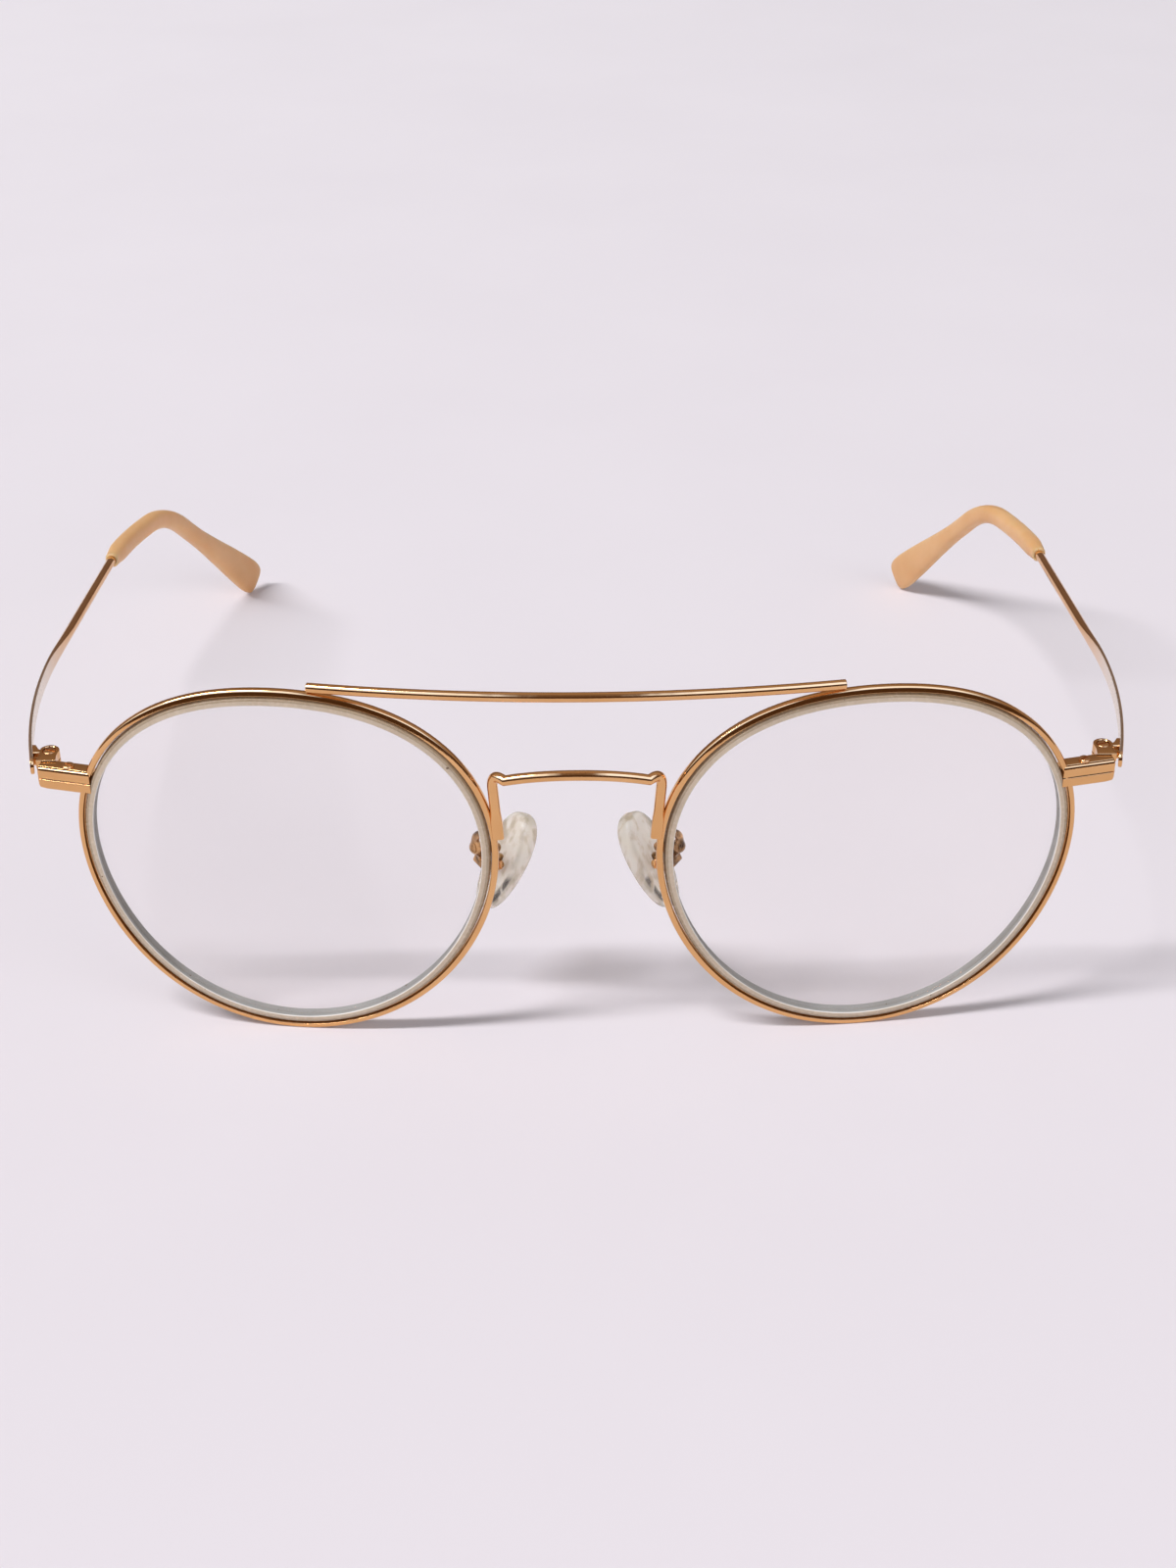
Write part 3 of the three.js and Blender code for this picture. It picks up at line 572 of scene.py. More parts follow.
# Ring with a painted highlight on the front lip, and painted shade on the wall round the lens and on the
# outer shoulder
def buildRing(side, sign):
    s, lens = ringSize, lensSize
    bevelFront, bevelBack = lens["middle"] - lens["half"], lens["middle"] + lens["half"]
    lipBack = s["lip"] - s["proud"]
    section = rounded([
        (ringInner, lipBack, s["lipRound"]), (ringInner - s["lip"], -s["proud"], s["lipRound"]),
        (ringOuter + s["band"], mixed(s["low"], -s["proud"], 0.5), 0),
        (ringOuter + s["step"], s["low"], 0.05), (ringOuter, s["shoulder"], 0.06),
        (ringOuter, s["depth"], 0.12), (ringInner, s["depth"], 0.15), (ringInner, bevelBack, 0.04),
        (ringInner - lens["bevel"], lens["middle"], 0), (ringInner, bevelFront, 0.04),
    ], 4)
    shell = moved(skin(roundEye(section, fullTurn(eye["steps"]), sign), loop=True), eyePlace(sign))
    ring = place(rawObject(f"{side}-inner-ring", shell), frostedRing, "front", f"{side}_inner_ring")
    for finish in (ringWallShade, ringLipHighlight, ringShoulderShade):
        ring.data.materials.append(finish["material"])
    # The lip's faces take the painted highlight, the wall's and the shoulder's faces the painted shade
    inset, depth = ((section + np.roll(section, -1, 0)) / 2).T
    lip = (inset > ringInner - s["lip"]) & (depth < lipBack)
    wall = (inset > ringInner - lens["bevel"] - 0.01) & (depth > s["wallFront"])
    wall &= depth < s["depth"] - 0.02
    outer = (inset < ringOuter + s["band"]) & (depth < s["depth"] / 2)
    finishes = np.select([lip, wall, outer], [2, 1, 3], 0)
    for polygon in ring.data.polygons:
        polygon.material_index = int(finishes[polygon.index % len(section)])


def buildLens(side, sign):
    s = lensSize
    angles = fullTurn(s["steps"])
    rim = outline(angles, np.full(len(angles), lensEdge))
    apex = outline(angles, np.full(len(angles), lensEdge - s["bevel"]))
    shares = np.linspace(0, 1, s["rings"] + 1)[1:]

    def face(share, depth):
        sag = np.full(len(angles), depth - s["bulge"] * (1 - share * share))
        return np.stack([sign * rim[:, 0] * share, sag, rim[:, 1] * share], -1)

    front = [face(share, s["middle"] - s["half"]) for share in shares]
    back = [face(share, s["middle"] + s["half"]) for share in shares[::-1]]
    ridge = np.stack([sign * apex[:, 0], np.full(len(angles), s["middle"]), apex[:, 1]], -1)
    shell = moved(skin([*front, ridge, *back]), eyePlace(sign))
    place(rawObject(f"{side}-clear-lens", shell), clearLens, "front", f"{side}_lens", 50)


for side, sign in sides.items():
    buildRim(side, sign)
    buildRing(side, sign)
    buildLens(side, sign)
print("rims, rings and lenses built")


# Brow bar and bridge

browSize = {
    "radius": 0.62, "inset": 4.005, "forward": 3.2, "arch": 0.3, "gap": 0.15, "drop": 0.3, "edge": 0.1,
}


def buildBrowBar():
    s = browSize
    halfSpan = eye["spacing"] / 2 - s["inset"]
    y = rimSize["depth"] / 2 + math.tan(radians(eye["wrap"])) * (halfSpan - eye["spacing"] / 2)
    z = eyeHalfTall + s["gap"] + s["radius"] - s["drop"]
    path = bezier([(-halfSpan, y, z), (0, y - 2 * s["forward"], z + 2 * s["arch"]), (halfSpan, y, z)], 97)
    wire = rawObject("brow-bar-wire", tube(path, s["radius"], 32, s["edge"]))
    place(wire, roseGold, "front", "brow_bar")


bridgeSize = {
    "radius": 0.66, "legInset": 0.595, "height": 14.85, "arch": 0.95, "forward": 1.6,
    "cornerForward": 1.2, "corner": 1.5, "cornerRise": 0.6, "splay": 0.55,
    "footBottom": 5.8, "footTop": 8.8,
    "footHalfWidth": 0.74, "footHalfDepth": 0.55, "footSquareness": 0.45,
}


def bridgePath():
    s = bridgeSize
    span = (eye["spacing"] - eye["width"]) / 2 + s["legInset"]
    y = rimSize["depth"] / 2 - math.sin(radians(eye["wrap"])) * eyeHalf
    foot = (span - s["splay"], y, s["footBottom"])
    legTop = (span, y, s["height"] - s["corner"])
    armStart = (span - s["corner"], y - s["cornerForward"], s["height"])
    middle = (0, y - s["forward"], s["height"] + s["arch"])
    leg = np.linspace(foot, legTop, 24)[:-1]
    corner = bezier([legTop, (span, y, s["height"] + s["cornerRise"]), armStart], 17)[:-1]
    arm = bezier([armStart, (span / 2, y - s["forward"], s["height"] + s["arch"]), middle], 25)
    right = np.vstack([leg, corner, arm])
    left = right[:-1] * np.array([-1, 1, 1])
    return np.vstack([left, right[::-1]])


# Round wire with flat squarish feet, both ends eased
def buildBridge():
    s = bridgeSize
    path = bridgePath()
    rows = []
    for centre, forward in zip(path, unit(np.gradient(path, axis=0))):
        across = unit(np.cross(forward, [0, 1, 0]))
        depth = np.cross(across, forward)
        thin = ease(centre[2], s["footTop"] - 1, s["footTop"] + 1)
        halfWidth = mixed(s["footHalfWidth"], s["radius"], thin)
        halfDepth = mixed(s["footHalfDepth"], s["radius"], thin)
        section = ovalSection(halfWidth, halfDepth, 28, mixed(s["footSquareness"], 1, thin))
        rows.append(centre + section[:, :1] * across + section[:, 1:] * depth)
    for end, inner in ((0, 1), (-1, -2)):
        middle = rows[end].mean(0)
        step = unit(path[end] - path[inner])
        caps = [middle + (rows[end] - middle) * k + step * out for k, out in ((0.97, 0.05), (0.9, 0.09))]
        rows = caps[::-1] + rows if end == 0 else rows + caps
    place(rawObject("bridge-wire", skin(rows)), roseGold, "front", "bridge")


buildBrowBar()
buildBridge()
print("brow bar and bridge built")


# Closing blocks and hinges, in the hinge's own frame: x outward, y back, z up

blockSize = {
    "long": 6.9, "deep": 2.1, "turn": 13.4, "out": 0.95, "front": 3.7, "top": 1.55, "bottom": -1.6,
    "split": -0.12, "splitGap": 0.12, "corner": 0.55, "endRound": 0.22, "edge": 0.06,
    "coveLow": 0.62, "coveBack": 0.36, "coveEdge": 0.14, "bottomRound": (0.3, 0.35),
}
knuckle = {
    "radius": 1.25, "base": 0.56, "top": 1.76, "sinkRadius": 0.86, "sink": 0.5, "sinkLip": 0.06,
    "middleHalf": 0.5, "middleEdge": 0.08, "edge": 0.1, "waist": 0.14, "tongueIn": 0.9, "steps": 96,
}
screwSize = {
    "rimHead": 0.74, "rimTall": 0.3, "rimIn": 3.8, "rimTurn": 38,
    "hingeHead": 0.78, "hingeTall": 0.4, "hingeLow": 0.04, "hingeTurn": 20,
    "shank": 0.45, "slot": 0.26, "slotDeep": 0.2, "edge": 0.1, "crown": 0.02,
}


def hingePlace(sign):
    return Matrix.Translation((sign * hingeSpot[0], hingeSpot[1], hingeSpot[2]))


# Block half: its section, as depth and height, carried along the block, its outer end rounded
def blockShell(section, bottomRound):
    s = blockSize
    turn = radians(s["turn"])
    middle = section.mean(0)
    low, high = section[:, 1].min(), section[:, 1].max()
    stops = [(along, 0) for along in (-s["long"], *np.linspace(-s["long"] + 1, -1, 6))]
    stops += [(-out, back) for out, back in quarter(s["endRound"], 7)]
    rows = []
    for along, back in stops:
        share = 1 - 2 * back / np.ptp(section, axis=0)
        spots = middle + (section - middle) * share
        if bottomRound:
            over = np.clip((along + s["corner"]) / s["corner"], 0, 0.98)
            rise = s["corner"] * (1 - math.sqrt(1 - over * over))
            spots[:, 1] = high - (high - spots[:, 1]) * (high - low - rise) / (high - low)
        x = s["out"] + along * math.cos(turn) - spots[:, 0] * math.sin(turn)
        y = -s["front"] + along * math.sin(turn) + spots[:, 0] * math.cos(turn)
        rows.append(np.stack([x, y, spots[:, 1]], -1))
    return skin(rows)


# Outline of a front knuckle seen from above: round behind, a waisted tongue in front
def tongueReach(angles):
    k, s = knuckle, blockSize
    end = s["front"] - s["deep"] + k["tongueIn"]
    reach = []
    for angle in angles:
        side, back = max(abs(math.cos(angle)), 1e-6), math.sin(angle)
        if back >= 0:
            reach.append(k["radius"])
            continue
        drop = -back * min(k["radius"] / side, end / -back) / end
        reach.append(min((k["radius"] - k["waist"] * math.sin(math.pi * drop)) / side, end / -back))
    return np.array(reach)


# Flat piece standing between two heights, with eased edges and an optional round sink in its top
def slabShell(reach, angles, low, high, edge, sinkRadius=0, sink=0):
    spokes = np.stack([np.cos(angles), np.sin(angles)], -1)

    def row(size, z):
        sizes = np.broadcast_to(size, len(angles))[:, None]
        return np.column_stack([spokes * sizes, np.full(len(angles), z)])

    arc = quarter(edge, 6)
    rows = [row(reach - inset, low + up) for inset, up in arc]
    rows += [row(reach - inset, high - down) for inset, down in arc[::-1]]
    if sink:
        lip = knuckle["sinkLip"]
        rows += [row(sinkRadius + lip, high), row(sinkRadius, high - lip), row(sinkRadius, high - sink)]
    return skin(rows)


def screwShell(headRadius, headTall, shankRadius, low, headBase):
    top, edge = headBase + headTall, screwSize["edge"]
    return turned([
        (shankRadius, low), (shankRadius, headBase), (headRadius, headBase), (headRadius, top - edge),
        (headRadius - 0.4 * edge, top - 0.4 * edge), (headRadius - 1.2 * edge, top),
        (headRadius * 0.4, top + screwSize["crown"]),
    ])


def slotCutter(top, turn):
    half = screwSize["slot"] / 2
    flat = np.array([(-2, -half), (2, -half), (2, half), (-2, half)])  # longer than any head is wide
    rows = [np.column_stack([flat, np.full(4, z)]) for z in (top - screwSize["slotDeep"], top + 1)]
    return moved(skin(rows), Matrix.Rotation(radians(turn), 4, "Z"))


def buildBlocks(side, sign):
    s, k = blockSize, knuckle
    base, under = s["split"] + s["splitGap"] / 2, s["split"] - s["splitGap"] / 2
    coveTop = s["top"] - s["coveEdge"]
    cove = [(s["coveBack"] * (1 - math.cos(a)), mixed(s["coveLow"], coveTop, math.sin(a)), 0)
            for a in np.linspace(0, math.pi / 2, 9)]
    upper = rounded([
        (s["deep"], base, s["edge"]), (0, base, s["edge"]), *cove,
        (s["coveBack"] + 0.05, s["top"], 0.09), (s["deep"], s["top"], 0.2),
    ], 4)
    backRound, frontRound = s["bottomRound"]
    lower = rounded([
        (s["deep"], under, s["edge"]), (s["deep"], s["bottom"], backRound),
        (0, s["bottom"], frontRound), (0, under, s["edge"]),
    ])
    angles = fullTurn(k["steps"])
    reach = tongueReach(angles)
    top = slabShell(reach, angles, k["base"], k["top"], k["edge"], k["sinkRadius"], k["sink"])
    foot = slabShell(reach, angles, -k["top"], -k["base"], k["edge"])
    halves = {"upper": (blockShell(upper, False), top), "lower": (blockShell(lower, True), foot)}
    for name, shells in halves.items():
        block, lobe = (moved(sided(shell, sign), hingePlace(sign)) for shell in shells)
        body = carve(rawObject(f"{side}-block-{name}", block), lobe, "UNION")
        place(body, roseGold, "front", f"{side}_block_{name}", 30)


def buildScrew(name, node, shell, slotTop, slotTurn, spot):
    body = carve(rawObject(name, shell), slotCutter(slotTop, slotTurn))
    body.data.transform(spot)
    place(body, screwGold, "front", node, 30)


def buildHingeScrews(side, sign):
    s, b, k = screwSize, blockSize, knuckle
    turn = radians(b["turn"])
    x = b["out"] - s["rimIn"] * math.cos(turn) - b["deep"] / 2 * math.sin(turn)
    y = -b["front"] - s["rimIn"] * math.sin(turn) + b["deep"] / 2 * math.cos(turn)
    rimSpot = hingePlace(sign) @ Matrix.Translation((sign * x, y, 0))
    closing = screwShell(s["rimHead"], s["rimTall"], s["shank"], b["bottom"], b["top"])
    buildScrew(f"{side}-closing-screw", f"{side}_rim_screw", closing,
               b["top"] + s["rimTall"], sign * s["rimTurn"], rimSpot)
    headBase = k["top"] - s["hingeTall"] - s["hingeLow"]
    pivot = screwShell(s["hingeHead"], s["hingeTall"], s["shank"], -k["top"], headBase)
    buildScrew(f"{side}-hinge-screw", f"{side}_hinge_screw", pivot,
               headBase + s["hingeTall"], sign * s["hingeTurn"], hingePlace(sign))


# Temples: flat blade, round wire and moulded ear tip, by distance behind the hinge

templeSize = {
    "rise": 0.5, "slope": 8.8, "bladeOut": 2.4, "bladeFront": 3.2, "thick": 0.5, "tall": 2.2,
    "squareness": 0.32, "bladeEnd": 30, "wireStart": 48, "wire": 0.7, "bowOut": 4.64, "bowReach": 38,
    "inwardStart": 76.7, "tipInward": 15.3, "reach": 128.8, "coreShort": 9, "noseRound": 1.0, "around": 32,
    "earStart": 98.2, "earRadius": 18, "earAngle": 38.6, "droopStart": 114, "droopEnd": 1.2,
    "paintedSheenStart": (0.3, 1.2), "paintedSheenEnd": (46, 22), "paintedSheenAcross": (-0.9, 0.35),
}
tipSize = {
    "start": 79, "tall": 1.5, "thick": 1.35, "paddleTall": 3.0, "paddleThick": 1.15, "paddleStart": 112,
    "round": 2.2, "short": 0.45, "endThin": 0.4, "endShort": 0.7, "squareness": 0.8, "around": 40,
    "mouth": 0.3, "mouthShare": 0.75, "taper": 5, "bore": 0.72, "boreDeep": 0.5, "boreEdge": 0.1,
}


def templePlace(sign):
    s = templeSize
    return (Matrix.Translation((sign * hingeSpot[0], hingeSpot[1], hingeSpot[2] + s["rise"]))
            @ Matrix.Rotation(-radians(s["slope"]), 4, "X"))


def templePoint(y, sign):
    s = templeSize
    bow = 1 - (1 - min(y, s["bowReach"]) / s["bowReach"]) ** 2
    inward = max(0, (y - s["inwardStart"]) / (s["reach"] - s["inwardStart"])) ** 2
    along = max(0, y - s["earStart"])
    inArc = min(along, s["earRadius"] * math.sin(radians(s["earAngle"])))
    drop = s["earRadius"] - math.sqrt(s["earRadius"] ** 2 - inArc**2)
    droop = max(0, (y - s["droopStart"]) / (s["reach"] - s["droopStart"])) ** 2
    x = s["bladeOut"] + s["bowOut"] * bow - s["tipInward"] * inward
    z = -drop - (along - inArc) * math.tan(radians(s["earAngle"])) - s["droopEnd"] * droop
    return np.array([sign * x, y, z])


def templeRow(section, y, sign):
    ahead = unit(templePoint(y + 0.4, sign) - templePoint(y - 0.4, sign))
    across = unit(np.cross(ahead, [0, 0, 1]))
    upright = np.cross(across, ahead)
    return templePoint(y, sign) + section[:, :1] * across + section[:, 1:] * upright


def buildTemple(side, sign):
    s = templeSize
    front, nose = -s["bladeFront"], s["noseRound"]
    stations = [front + nose * (1 - math.cos(a)) for a in np.linspace(0.12, math.pi / 2, 10)]
    stations += list(np.linspace(front + nose, s["wireStart"], 60)[1:])
    stations += list(np.linspace(s["wireStart"], s["reach"] - s["coreShort"], 70)[1:])
    stations = np.array(stations)
    rows = []
    for y in stations:
        thin = float(ease(y, s["bladeEnd"], s["wireStart"]))
        nearEnd = np.clip((y - front) / nose, 0, 1)
        short = math.sqrt(max(0, 1 - (1 - nearEnd) ** 2))
        halfThick = mixed(s["thick"] / 2, s["wire"], thin)
        halfTall = mixed(s["tall"] / 2, s["wire"], thin) * short
        section = ovalSection(halfThick, halfTall, s["around"], mixed(s["squareness"], 1, thin))
        rows.append(templeRow(section, y, sign))
    bar = rawObject(f"{side}-temple-bar", moved(skin(rows), templePlace(sign)))
    # Painted reflection: the blade's inner side, from its front end and fading out along the blade, is marked
    # paler and rougher
    along = ease(stations - front, *s["paintedSheenStart"]) * ease(stations, *s["paintedSheenEnd"])
    across = ease(-sign * np.cos(fullTurn(s["around"])), *s["paintedSheenAcross"])
    mark(bar, "paintedSheen", np.outer(along, across).ravel())
    place(bar, templeGold, f"{side}_temple", f"{side}_temple", 40)


def buildTip(side, sign):
    s = tipSize
    start, end = s["start"], templeSize["reach"] - s["short"]

    def row(y, inset=0.0, at=None):
        at = y if at is None else at
        paddle = float(ease(at, s["paddleStart"], end))
        left = np.clip((end - at) / s["round"], 0, 1)
        full = math.sqrt(1 - (1 - left) ** 2)
        slim = mixed(s["mouthShare"], 1, float(ease(at, start, start + s["taper"])))
        thick = mixed(s["thick"], s["paddleThick"], paddle) * mixed(s["endThin"], 1, full) * slim - inset
        tall = mixed(s["tall"], s["paddleTall"], paddle) * mixed(s["endShort"], 1, full) * slim - inset
        return templeRow(ovalSection(thick, tall, s["around"], s["squareness"]), y, sign)

    bore = ovalSection(s["bore"], s["bore"], s["around"])
    rows = [templeRow(bore, start + s["boreDeep"], sign), templeRow(bore, start + s["boreEdge"], sign),
            templeRow(bore * 1.1, start, sign)]
    rows += [row(start + far, inset, start) for inset, far in quarter(s["mouth"], 6)]
    rows += [row(y) for y in np.linspace(start + 1, end - s["round"], 70)]
    rows += [row(end - back) for back, _ in quarter(s["round"], 14)[1:]]
    tip = rawObject(f"{side}-ear-tip", moved(skin(rows), templePlace(sign)))
    place(tip, caramelTip, f"{side}_temple", f"{side}_temple_tip", 50)


bracketSize = {
    "start": 1.2, "reach": 2.4, "tall": 0.85, "sunk": 0.1, "webPast": 0.06, "ahead": 0.3, "past": 0.4,
    "thick": 0.3, "edge": 0.1, "endRound": 0.15, "hollowIn": 0.6, "hollowBack": 0.55, "hollowRound": 0.5,
}


# Middle knuckle with its web, and the plate that carries it on the temple's inner face
def buildTempleKnuckle(side, sign):
    k, b, t = knuckle, bracketSize, templeSize
    face = t["bladeOut"] - t["thick"] / 2 + b["sunk"]
    angles = fullTurn(k["steps"])
    reach = np.full(k["steps"], k["radius"])
    for i, angle in enumerate(angles):
        out, back = math.cos(angle), math.sin(angle)
        if out > 0 and back >= 0:
            web = min(face / max(out, 1e-6), (b["start"] + b["webPast"]) / max(back, 1e-6))
            reach[i] = max(k["radius"], web)
    barrel = slabShell(reach, angles, -k["middleHalf"], k["middleHalf"], k["middleEdge"])

    def inner(y):
        return templePoint(y, 1)[0] - t["thick"] / 2

    front, back = b["start"] - b["ahead"], b["reach"] + b["past"]
    flat = rounded([
        (k["radius"] / 2, front, b["edge"]), (inner(b["start"]) + b["sunk"], front, 0),
        (inner(b["reach"]) + b["sunk"], back, 0), (inner(b["reach"]) - b["thick"], back, b["endRound"]),
        (inner(b["start"]) - b["hollowIn"], b["start"] + b["hollowBack"], b["hollowRound"]),
    ])
    middle, high = flat.mean(0), b["tall"] - b["edge"]
    plate = skin([np.column_stack([middle + (flat - middle) * size, np.full(len(flat), z)])
                  for size, z in ((0.9, -b["tall"]), (1, -high), (1, high), (0.9, b["tall"]))])
    barrel, plate = (moved(sided(shell, sign), hingePlace(sign)) for shell in (barrel, plate))
    body = carve(rawObject(f"{side}-temple-knuckle", barrel), plate, "UNION")
    place(body, roseGold, f"{side}_temple", f"{side}_temple_knuckle", 30)


for side, sign in sides.items():
    buildBlocks(side, sign)
    buildHingeScrews(side, sign)
    buildTemple(side, sign)
    buildTip(side, sign)
    buildTempleKnuckle(side, sign)
print("blocks, hinges, temples and tips built")


# Nose pads, in the pad's frame: x out from the nose, y back, z along the pad

padSize = {
    "inset": 0.405, "y": 7.8, "z": -4.5, "splay": 30, "tilt": 29, "halfLong": 6.9, "halfWide": 3.3,
    "thick": 2.6, "round": 0.9, "taper": 0.2, "squareness": 0.95, "around": 64,
    "lugLong": 1.8, "lugWide": 1.4, "lugOut": 1.75, "lugRoot": 0.4, "lugEdge": 0.2,
    "lugGap": 0.15, "lugEndGap": 0.3,
    "boxLong": 2.7, "boxWall": 0.65, "boxGap": 0.42, "boxEdge": 0.25, "roomEdge": 0.05,
    "screw": 0.38, "head": 0.74, "headTall": 0.5, "headGap": 0.03, "screwTurn": 55,
}
armSize = {
    "radius": 0.52, "height": 3, "gap": 0.05, "rimIn": 0.1, "boxIn": 0.2, "edge": 0.06,
    "bend": ((11.7, 2.6, 3.2), (12.8, 4.0, 1.9), (12.9, 5.0, -0.4), (12.5, 5.8, -2.0)),
    "knob": 0.38, "knobLong": 0.9, "rimSwell": 0.45, "boxSwell": 0.3,
}
boxFace = padSize["thick"] / 2 + padSize["boxGap"]
boxBase = padSize["thick"] / 2 + padSize["lugOut"] + padSize["lugEndGap"]
boxRoom = padSize["lugWide"] / 2 + padSize["lugGap"]
boxHalf = boxRoom + padSize["boxWall"]
lugAxis = boxFace + padSize["lugOut"] / 2 - padSize["lugEndGap"]


def padPlace(sign):
    s = padSize
    x = (eye["spacing"] - eye["width"]) / 2 - s["inset"]
    return (Matrix.Translation((sign * x, s["y"], s["z"]))
            @ Matrix.Rotation(-sign * radians(s["splay"]), 4, "Z")
            @ Matrix.Rotation(-sign * radians(s["tilt"]), 4, "Y"))


# Box between two distances from the nose, even about the other two axes, with eased edges
def boxShell(x0, x1, halfDeep, halfTall, edge, sign):
    corners = ((x0, -halfDeep), (x1, -halfDeep), (x1, halfDeep), (x0, halfDeep))
    flat = rounded([(x, y, edge) for x, y in corners], 4)
    middle, size = flat.mean(0), np.ptp(flat, axis=0)
    arc = quarter(edge, 5)
    stops = [(inset, up - halfTall) for inset, up in arc]
    stops += [(inset, halfTall - down) for inset, down in arc[::-1]]
    return sided(skin([
        np.column_stack([middle + (flat - middle) * (1 - 2 * inset / size), np.full(len(flat), z)])
        for inset, z in stops
    ]), sign)


def buildPad(side, sign):
    s = padSize
    half = s["thick"] / 2

    def layer(out, inset):
        flat = ovalSection(s["halfWide"] - inset, s["halfLong"] - inset, s["around"], s["squareness"])
        flat[:, 0] *= 1 + s["taper"] * flat[:, 1] / s["halfLong"]
        return np.column_stack([np.full(s["around"], out), flat])

    # Insets and distances from a face, from near its middle to the full outline
    rim = [(s["halfWide"] * (1 - share), 0) for share in (0.25, 0.6)] + quarter(s["round"], 7)
    rows = [layer(far - half, inset) for inset, far in rim]
    rows += [layer(half - far, inset) for inset, far in rim[::-1]]
    body = rawObject(f"{side}-nose-pad", sided(skin(rows), sign))
    root, end = half - s["lugRoot"], half + s["lugOut"]
    carve(body, boxShell(root, end, s["lugWide"] / 2, s["lugLong"] / 2, s["lugEdge"], sign), "UNION")
    # Painted dark reflections lie as streaks on the outer edge at the front, in the lower half
    spots = np.array([v.co for v in body.data.vertices])
    out, back, up = (spots / (sign, s["halfWide"], s["halfLong"])).T
    paintedReflections = ease(out, 0.3, 0.6) * ease(out, 1.2, 1.0) * ease(-back, 0.2, 0.4)
    mark(body, "edge", paintedReflections * ease(-up, 0.05, 0.2) * ease(up, -0.85, -0.7))
    body.data.transform(padPlace(sign))
    place(body, clearSilicone, f"{side}_nose_pad", f"{side}_nose_pad", 60)


def buildPadBox(side, sign):
    s = padSize
    half = s["boxLong"] / 2
    block = boxShell(boxFace, boxBase + s["boxWall"], boxHalf, half, s["boxEdge"], sign)
    body = rawObject(f"{side}-pad-box", block)
    carve(body, boxShell(0, boxBase, boxRoom, 2 * half, s["roomEdge"], sign))
    body.data.transform(padPlace(sign))
    place(body, armShadeGold, "front", f"{side}_pad_box", 30)
    headBase = boxHalf + s["headGap"]
    shell = screwShell(s["head"], s["headTall"], s["screw"], -boxHalf, headBase)
    turn = Matrix.Translation((sign * lugAxis, 0, 0)) @ Matrix.Rotation(math.pi / 2, 4, "X")
    buildScrew(f"{side}-pad-screw", f"{side}_pad_screw", shell,
               headBase + s["headTall"], sign * s["screwTurn"], padPlace(sign) @ turn)


# Bent wire from the rim to the pad box, thicker at both ends, with a bead on its way
def buildPadArm(side, sign):
    a = armSize
    nasal = math.pi - math.asin(a["height"] / eyeHalf)
    rimSpot = outline(nasal, rimSize["wall"] / 2)
    base = boxBase + padSize["boxWall"] + a["gap"]
    points = [eyePlace(sign) @ Vector((sign * rimSpot[0], rimSize["depth"] - a["rimIn"], rimSpot[1]))]
    points += [Vector((sign * x, y, z)) for x, y, z in a["bend"]]
    points += [padPlace(sign) @ Vector((sign * (base - a["boxIn"]), 0, 0))]
    path = throughPoints(points, 24)
    along = np.linspace(0, 1, len(path))
    fromKnob = np.linalg.norm(path - np.array(a["bend"][2]) * (sign, 1, 1), axis=1) / a["knobLong"]
    swell = a["rimSwell"] * (1 - ease(along, 0, 0.08)) + a["boxSwell"] * ease(along, 0.93, 1)
    radius = a["radius"] * (1 + swell) + a["knob"] * np.exp(-fromKnob**2)
    wire = rawObject(f"{side}-pad-arm", tube(path, radius, 20, a["edge"]))
    place(wire, armShadeGold, "front", f"{side}_pad_arm", 40)


for side, sign in sides.items():
    buildPad(side, sign)
    buildPadBox(side, sign)
    buildPadArm(side, sign)
print("nose pads built")


# Stage

def axesOf(tree, coordinates):
    spots = addNode(tree, "TexCoord").outputs[coordinates]
    return addNode(tree, "SeparateXYZ", {"Vector": spots}).outputs


floorLook = {
    # The tone is painted light: darker in front, lighter towards the back, with faint patches
    "tone": ((0.0, (0.772, 0.72, 0.772)), (0.7, (0.91, 0.86, 0.91))), "patch": 14, "patchy": 0.25,
    "rough": 0.7, "shine": 0.2, "rings": (0.4, 1.2, 3.0), "steps": 96,
}


# Pale disc with painted light, a little darker in front and lighter behind, faintly patchy
def buildFloor():
    look = floorLook
    ring = fullTurn(look["steps"])
    rows = [np.column_stack([r * np.cos(ring), r * np.sin(ring), 0 * ring]) for r in look["rings"]]
    points, faces = skin(rows)
    disc = bpy.data.meshes.new("floor")
    disc.from_pydata(points.tolist(), [], faces[:-1])  # without the outer cap, which would cover the disc
    floor = bpy.data.objects.new("floor", disc)
    bpy.context.scene.collection.objects.link(floor)
    material, tree = newMaterial("paleFloor")
    back = axesOf(tree, "Object")["Y"]
    tone = calc(tree, "MULTIPLY_ADD", noiseAt(tree, look["patch"], 4), look["patchy"], back)
    shader = addNode(tree, "BsdfPrincipled", {
        "Base Color": ramp(tree, tone, look["tone"]),
        "Roughness": look["rough"], "Specular IOR Level": look["shine"],
    })
    disc.materials.append(finished(material, shader)["material"])


lamps = {
    "key": {
        "spot": (-2.35, -1.1, 3.6), "aim": (0, 0, 0.02), "size": (2.7, 0.5), "power": 167, "glossy": True,
    },
    "front": {
        "spot": (0.7, -0.9, 0.65), "aim": (0, -0.06, 0.02), "size": (1.0, 0.7), "power": 4.6, "glossy": False,
    },
}


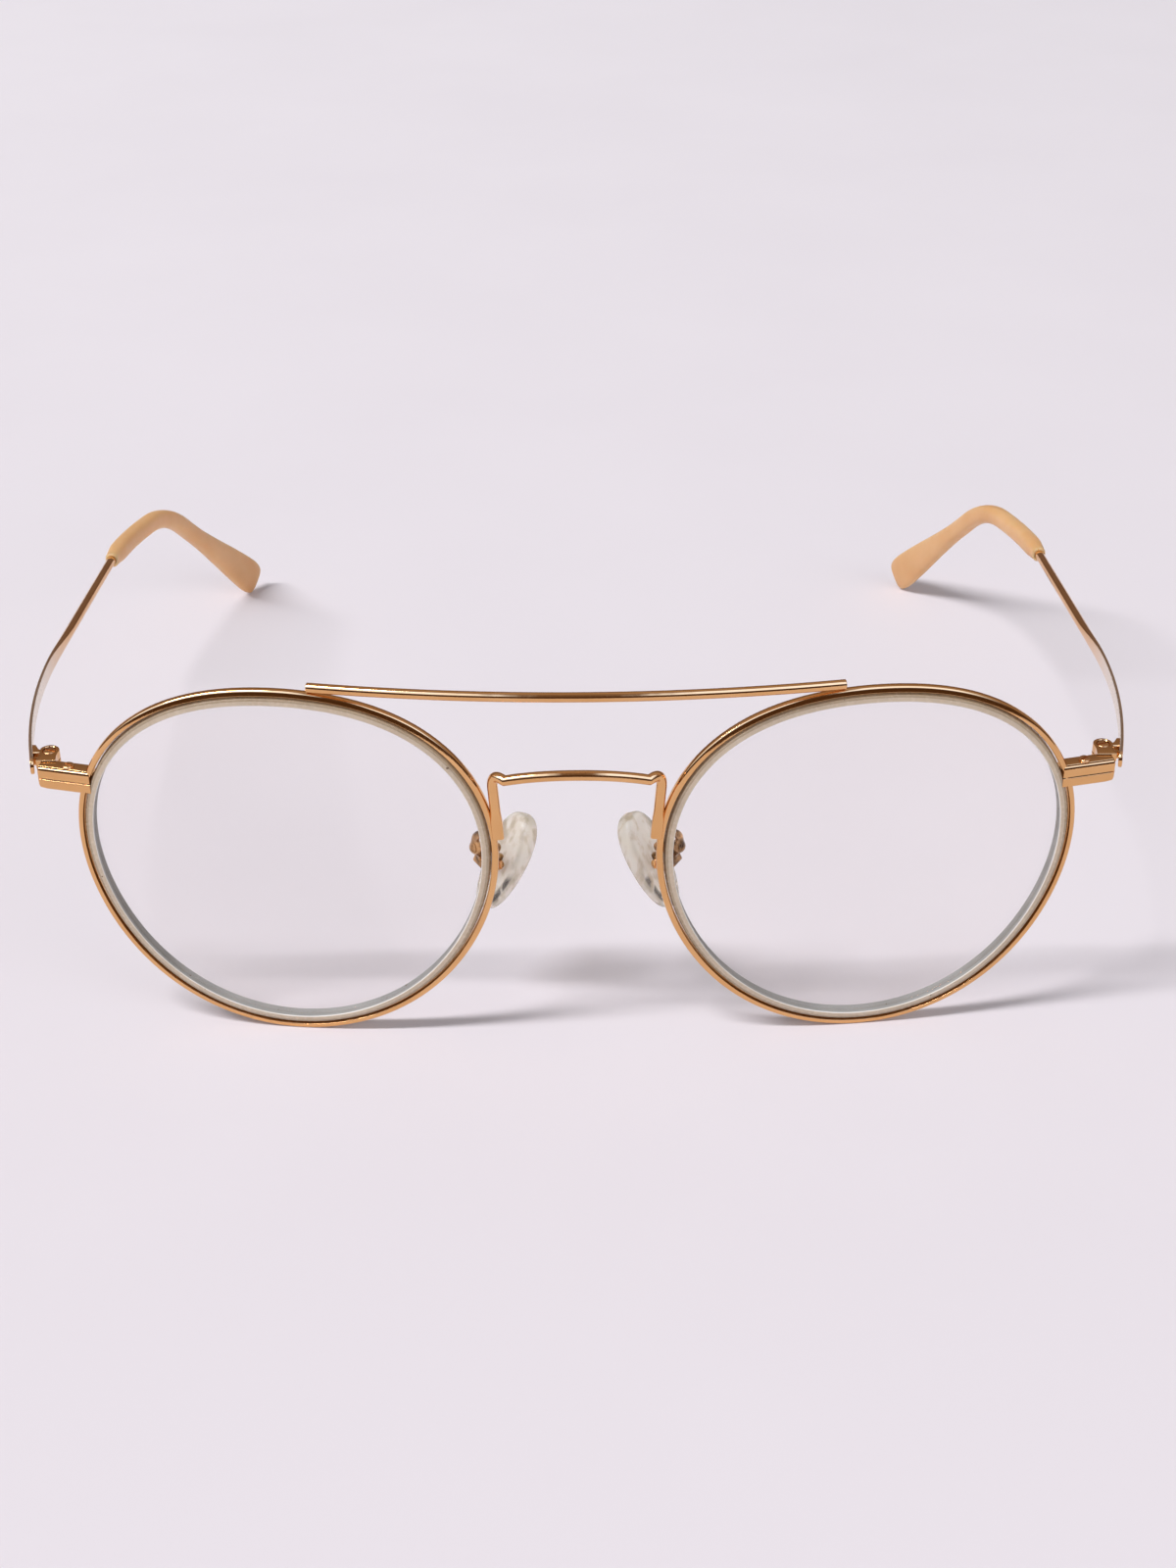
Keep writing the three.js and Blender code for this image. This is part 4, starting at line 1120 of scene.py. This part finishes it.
def addLamps():
    for name, lamp in lamps.items():
        light = bpy.data.lights.new(name, "AREA")
        light.shape = "RECTANGLE"
        light.size, light.size_y = lamp["size"]
        light.energy = lamp["power"]
        holder = bpy.data.objects.new(name, light)
        back = (Vector(lamp["spot"]) - Vector(lamp["aim"])).normalized()
        across = (Vector((1, 0, 0)) - back * back.x).normalized()
        turn = Matrix((across, back.cross(across), back)).transposed()
        holder.matrix_world = Matrix.Translation(lamp["spot"]) @ turn.to_4x4()
        holder.visible_glossy = lamp["glossy"]
        bpy.context.scene.collection.objects.link(holder)


# The arch runs from the front over the top to the back, as a share of a half turn
roomLook = {
    "pale": (0.815, 0.762, 0.812), "ambient": (0.26, 0.2574, 0.2574), "panel": (1.2, 1.75, 3.1),
    "arch": (
        (0.0, (0.08, 0.045, 0.025)), (0.12, (0.08, 0.045, 0.025)), (0.19, (0.12, 0.08, 0.06)),
        (0.5, (0.3, 0.23, 0.19)), (0.62, (0.52, 0.445, 0.4)), (0.8, (0.27, 0.2, 0.16)),
        (1.0, (0.17, 0.12, 0.1)),
    ),
    "panelArch": ((0.2, 0), (0.225, 1), (0.46, 1), (0.49, 0)),
    "panelAcross": (
        (0.0, 0), (0.05, 1), (0.42, 1), (0.46, 0), (0.54, 0), (0.58, 1), (0.8, 1), (0.92, 0),
    ),
}


# Room seen in the metal: dim in front, a grey ceiling, and a row of soft panels overhead
# with a gap in its middle
def roomMirror(tree):
    look = roomLook
    axes = axesOf(tree, "Generated")
    turn = calc(tree, "ARCTAN2", axes["Z"], calc(tree, "MULTIPLY", axes["Y"], -1))
    arch = calc(tree, "DIVIDE", turn, math.pi)
    across = calc(tree, "MULTIPLY_ADD", axes["X"], 0.5, 0.5)
    band, row = greys(tree, arch, look["panelArch"]), greys(tree, across, look["panelAcross"])
    panels = calc(tree, "MULTIPLY", band, row)
    base = addNode(tree, "Background", {"Color": ramp(tree, arch, look["arch"])})
    bright = addNode(tree, "Background", {"Color": (*look["panel"], 1), "Strength": panels})
    return addNode(tree, "AddShader", {0: base.outputs[0], 1: bright.outputs[0]})


# Room light: even for matt surfaces, pale where the camera sees it
def addRoom():
    world = bpy.data.worlds.new("room")
    bpy.context.scene.world = world
    world.use_nodes = True
    tree = world.node_tree
    tree.nodes.clear()
    soft = addNode(tree, "Background", {"Color": (*roomLook["ambient"], 1)})
    plain = addNode(tree, "Background", {"Color": (*roomLook["pale"], 1)})
    rays = addNode(tree, "LightPath").outputs
    lit = mixShader(tree, rays["Is Glossy Ray"], soft, roomMirror(tree))
    direct = calc(tree, "MAXIMUM", rays["Is Camera Ray"], rays["Is Transmission Ray"])
    addNode(tree, "OutputWorld", {"Surface": mixShader(tree, direct, lit, plain).outputs[0]})


cameraLook = {
    "spot": (0.00018, -0.3034, 0.18072), "down": 30.933, "yaw": -0.282, "roll": 0.228,
    "lens": 52.07, "sensor": 36,
}


def addCamera():
    c = cameraLook
    data = bpy.data.cameras.new("camera")
    data.lens, data.sensor_width, data.sensor_fit = c["lens"], c["sensor"], "AUTO"
    data.clip_start = 0.01
    camera = bpy.data.objects.new("camera", data)
    turn = Matrix.Rotation(radians(c["yaw"]), 4, "Z") @ Matrix.Rotation(radians(90 - c["down"]), 4, "X")
    turn = turn @ Matrix.Rotation(-radians(c["roll"]), 4, "Z")
    camera.matrix_world = Matrix.Translation(c["spot"]) @ turn
    bpy.context.scene.collection.objects.link(camera)
    bpy.context.scene.camera = camera


buildFloor()
addLamps()
addRoom()
addCamera()
bpy.context.scene.view_settings.view_transform = "Standard"
print("stage, light and camera set")
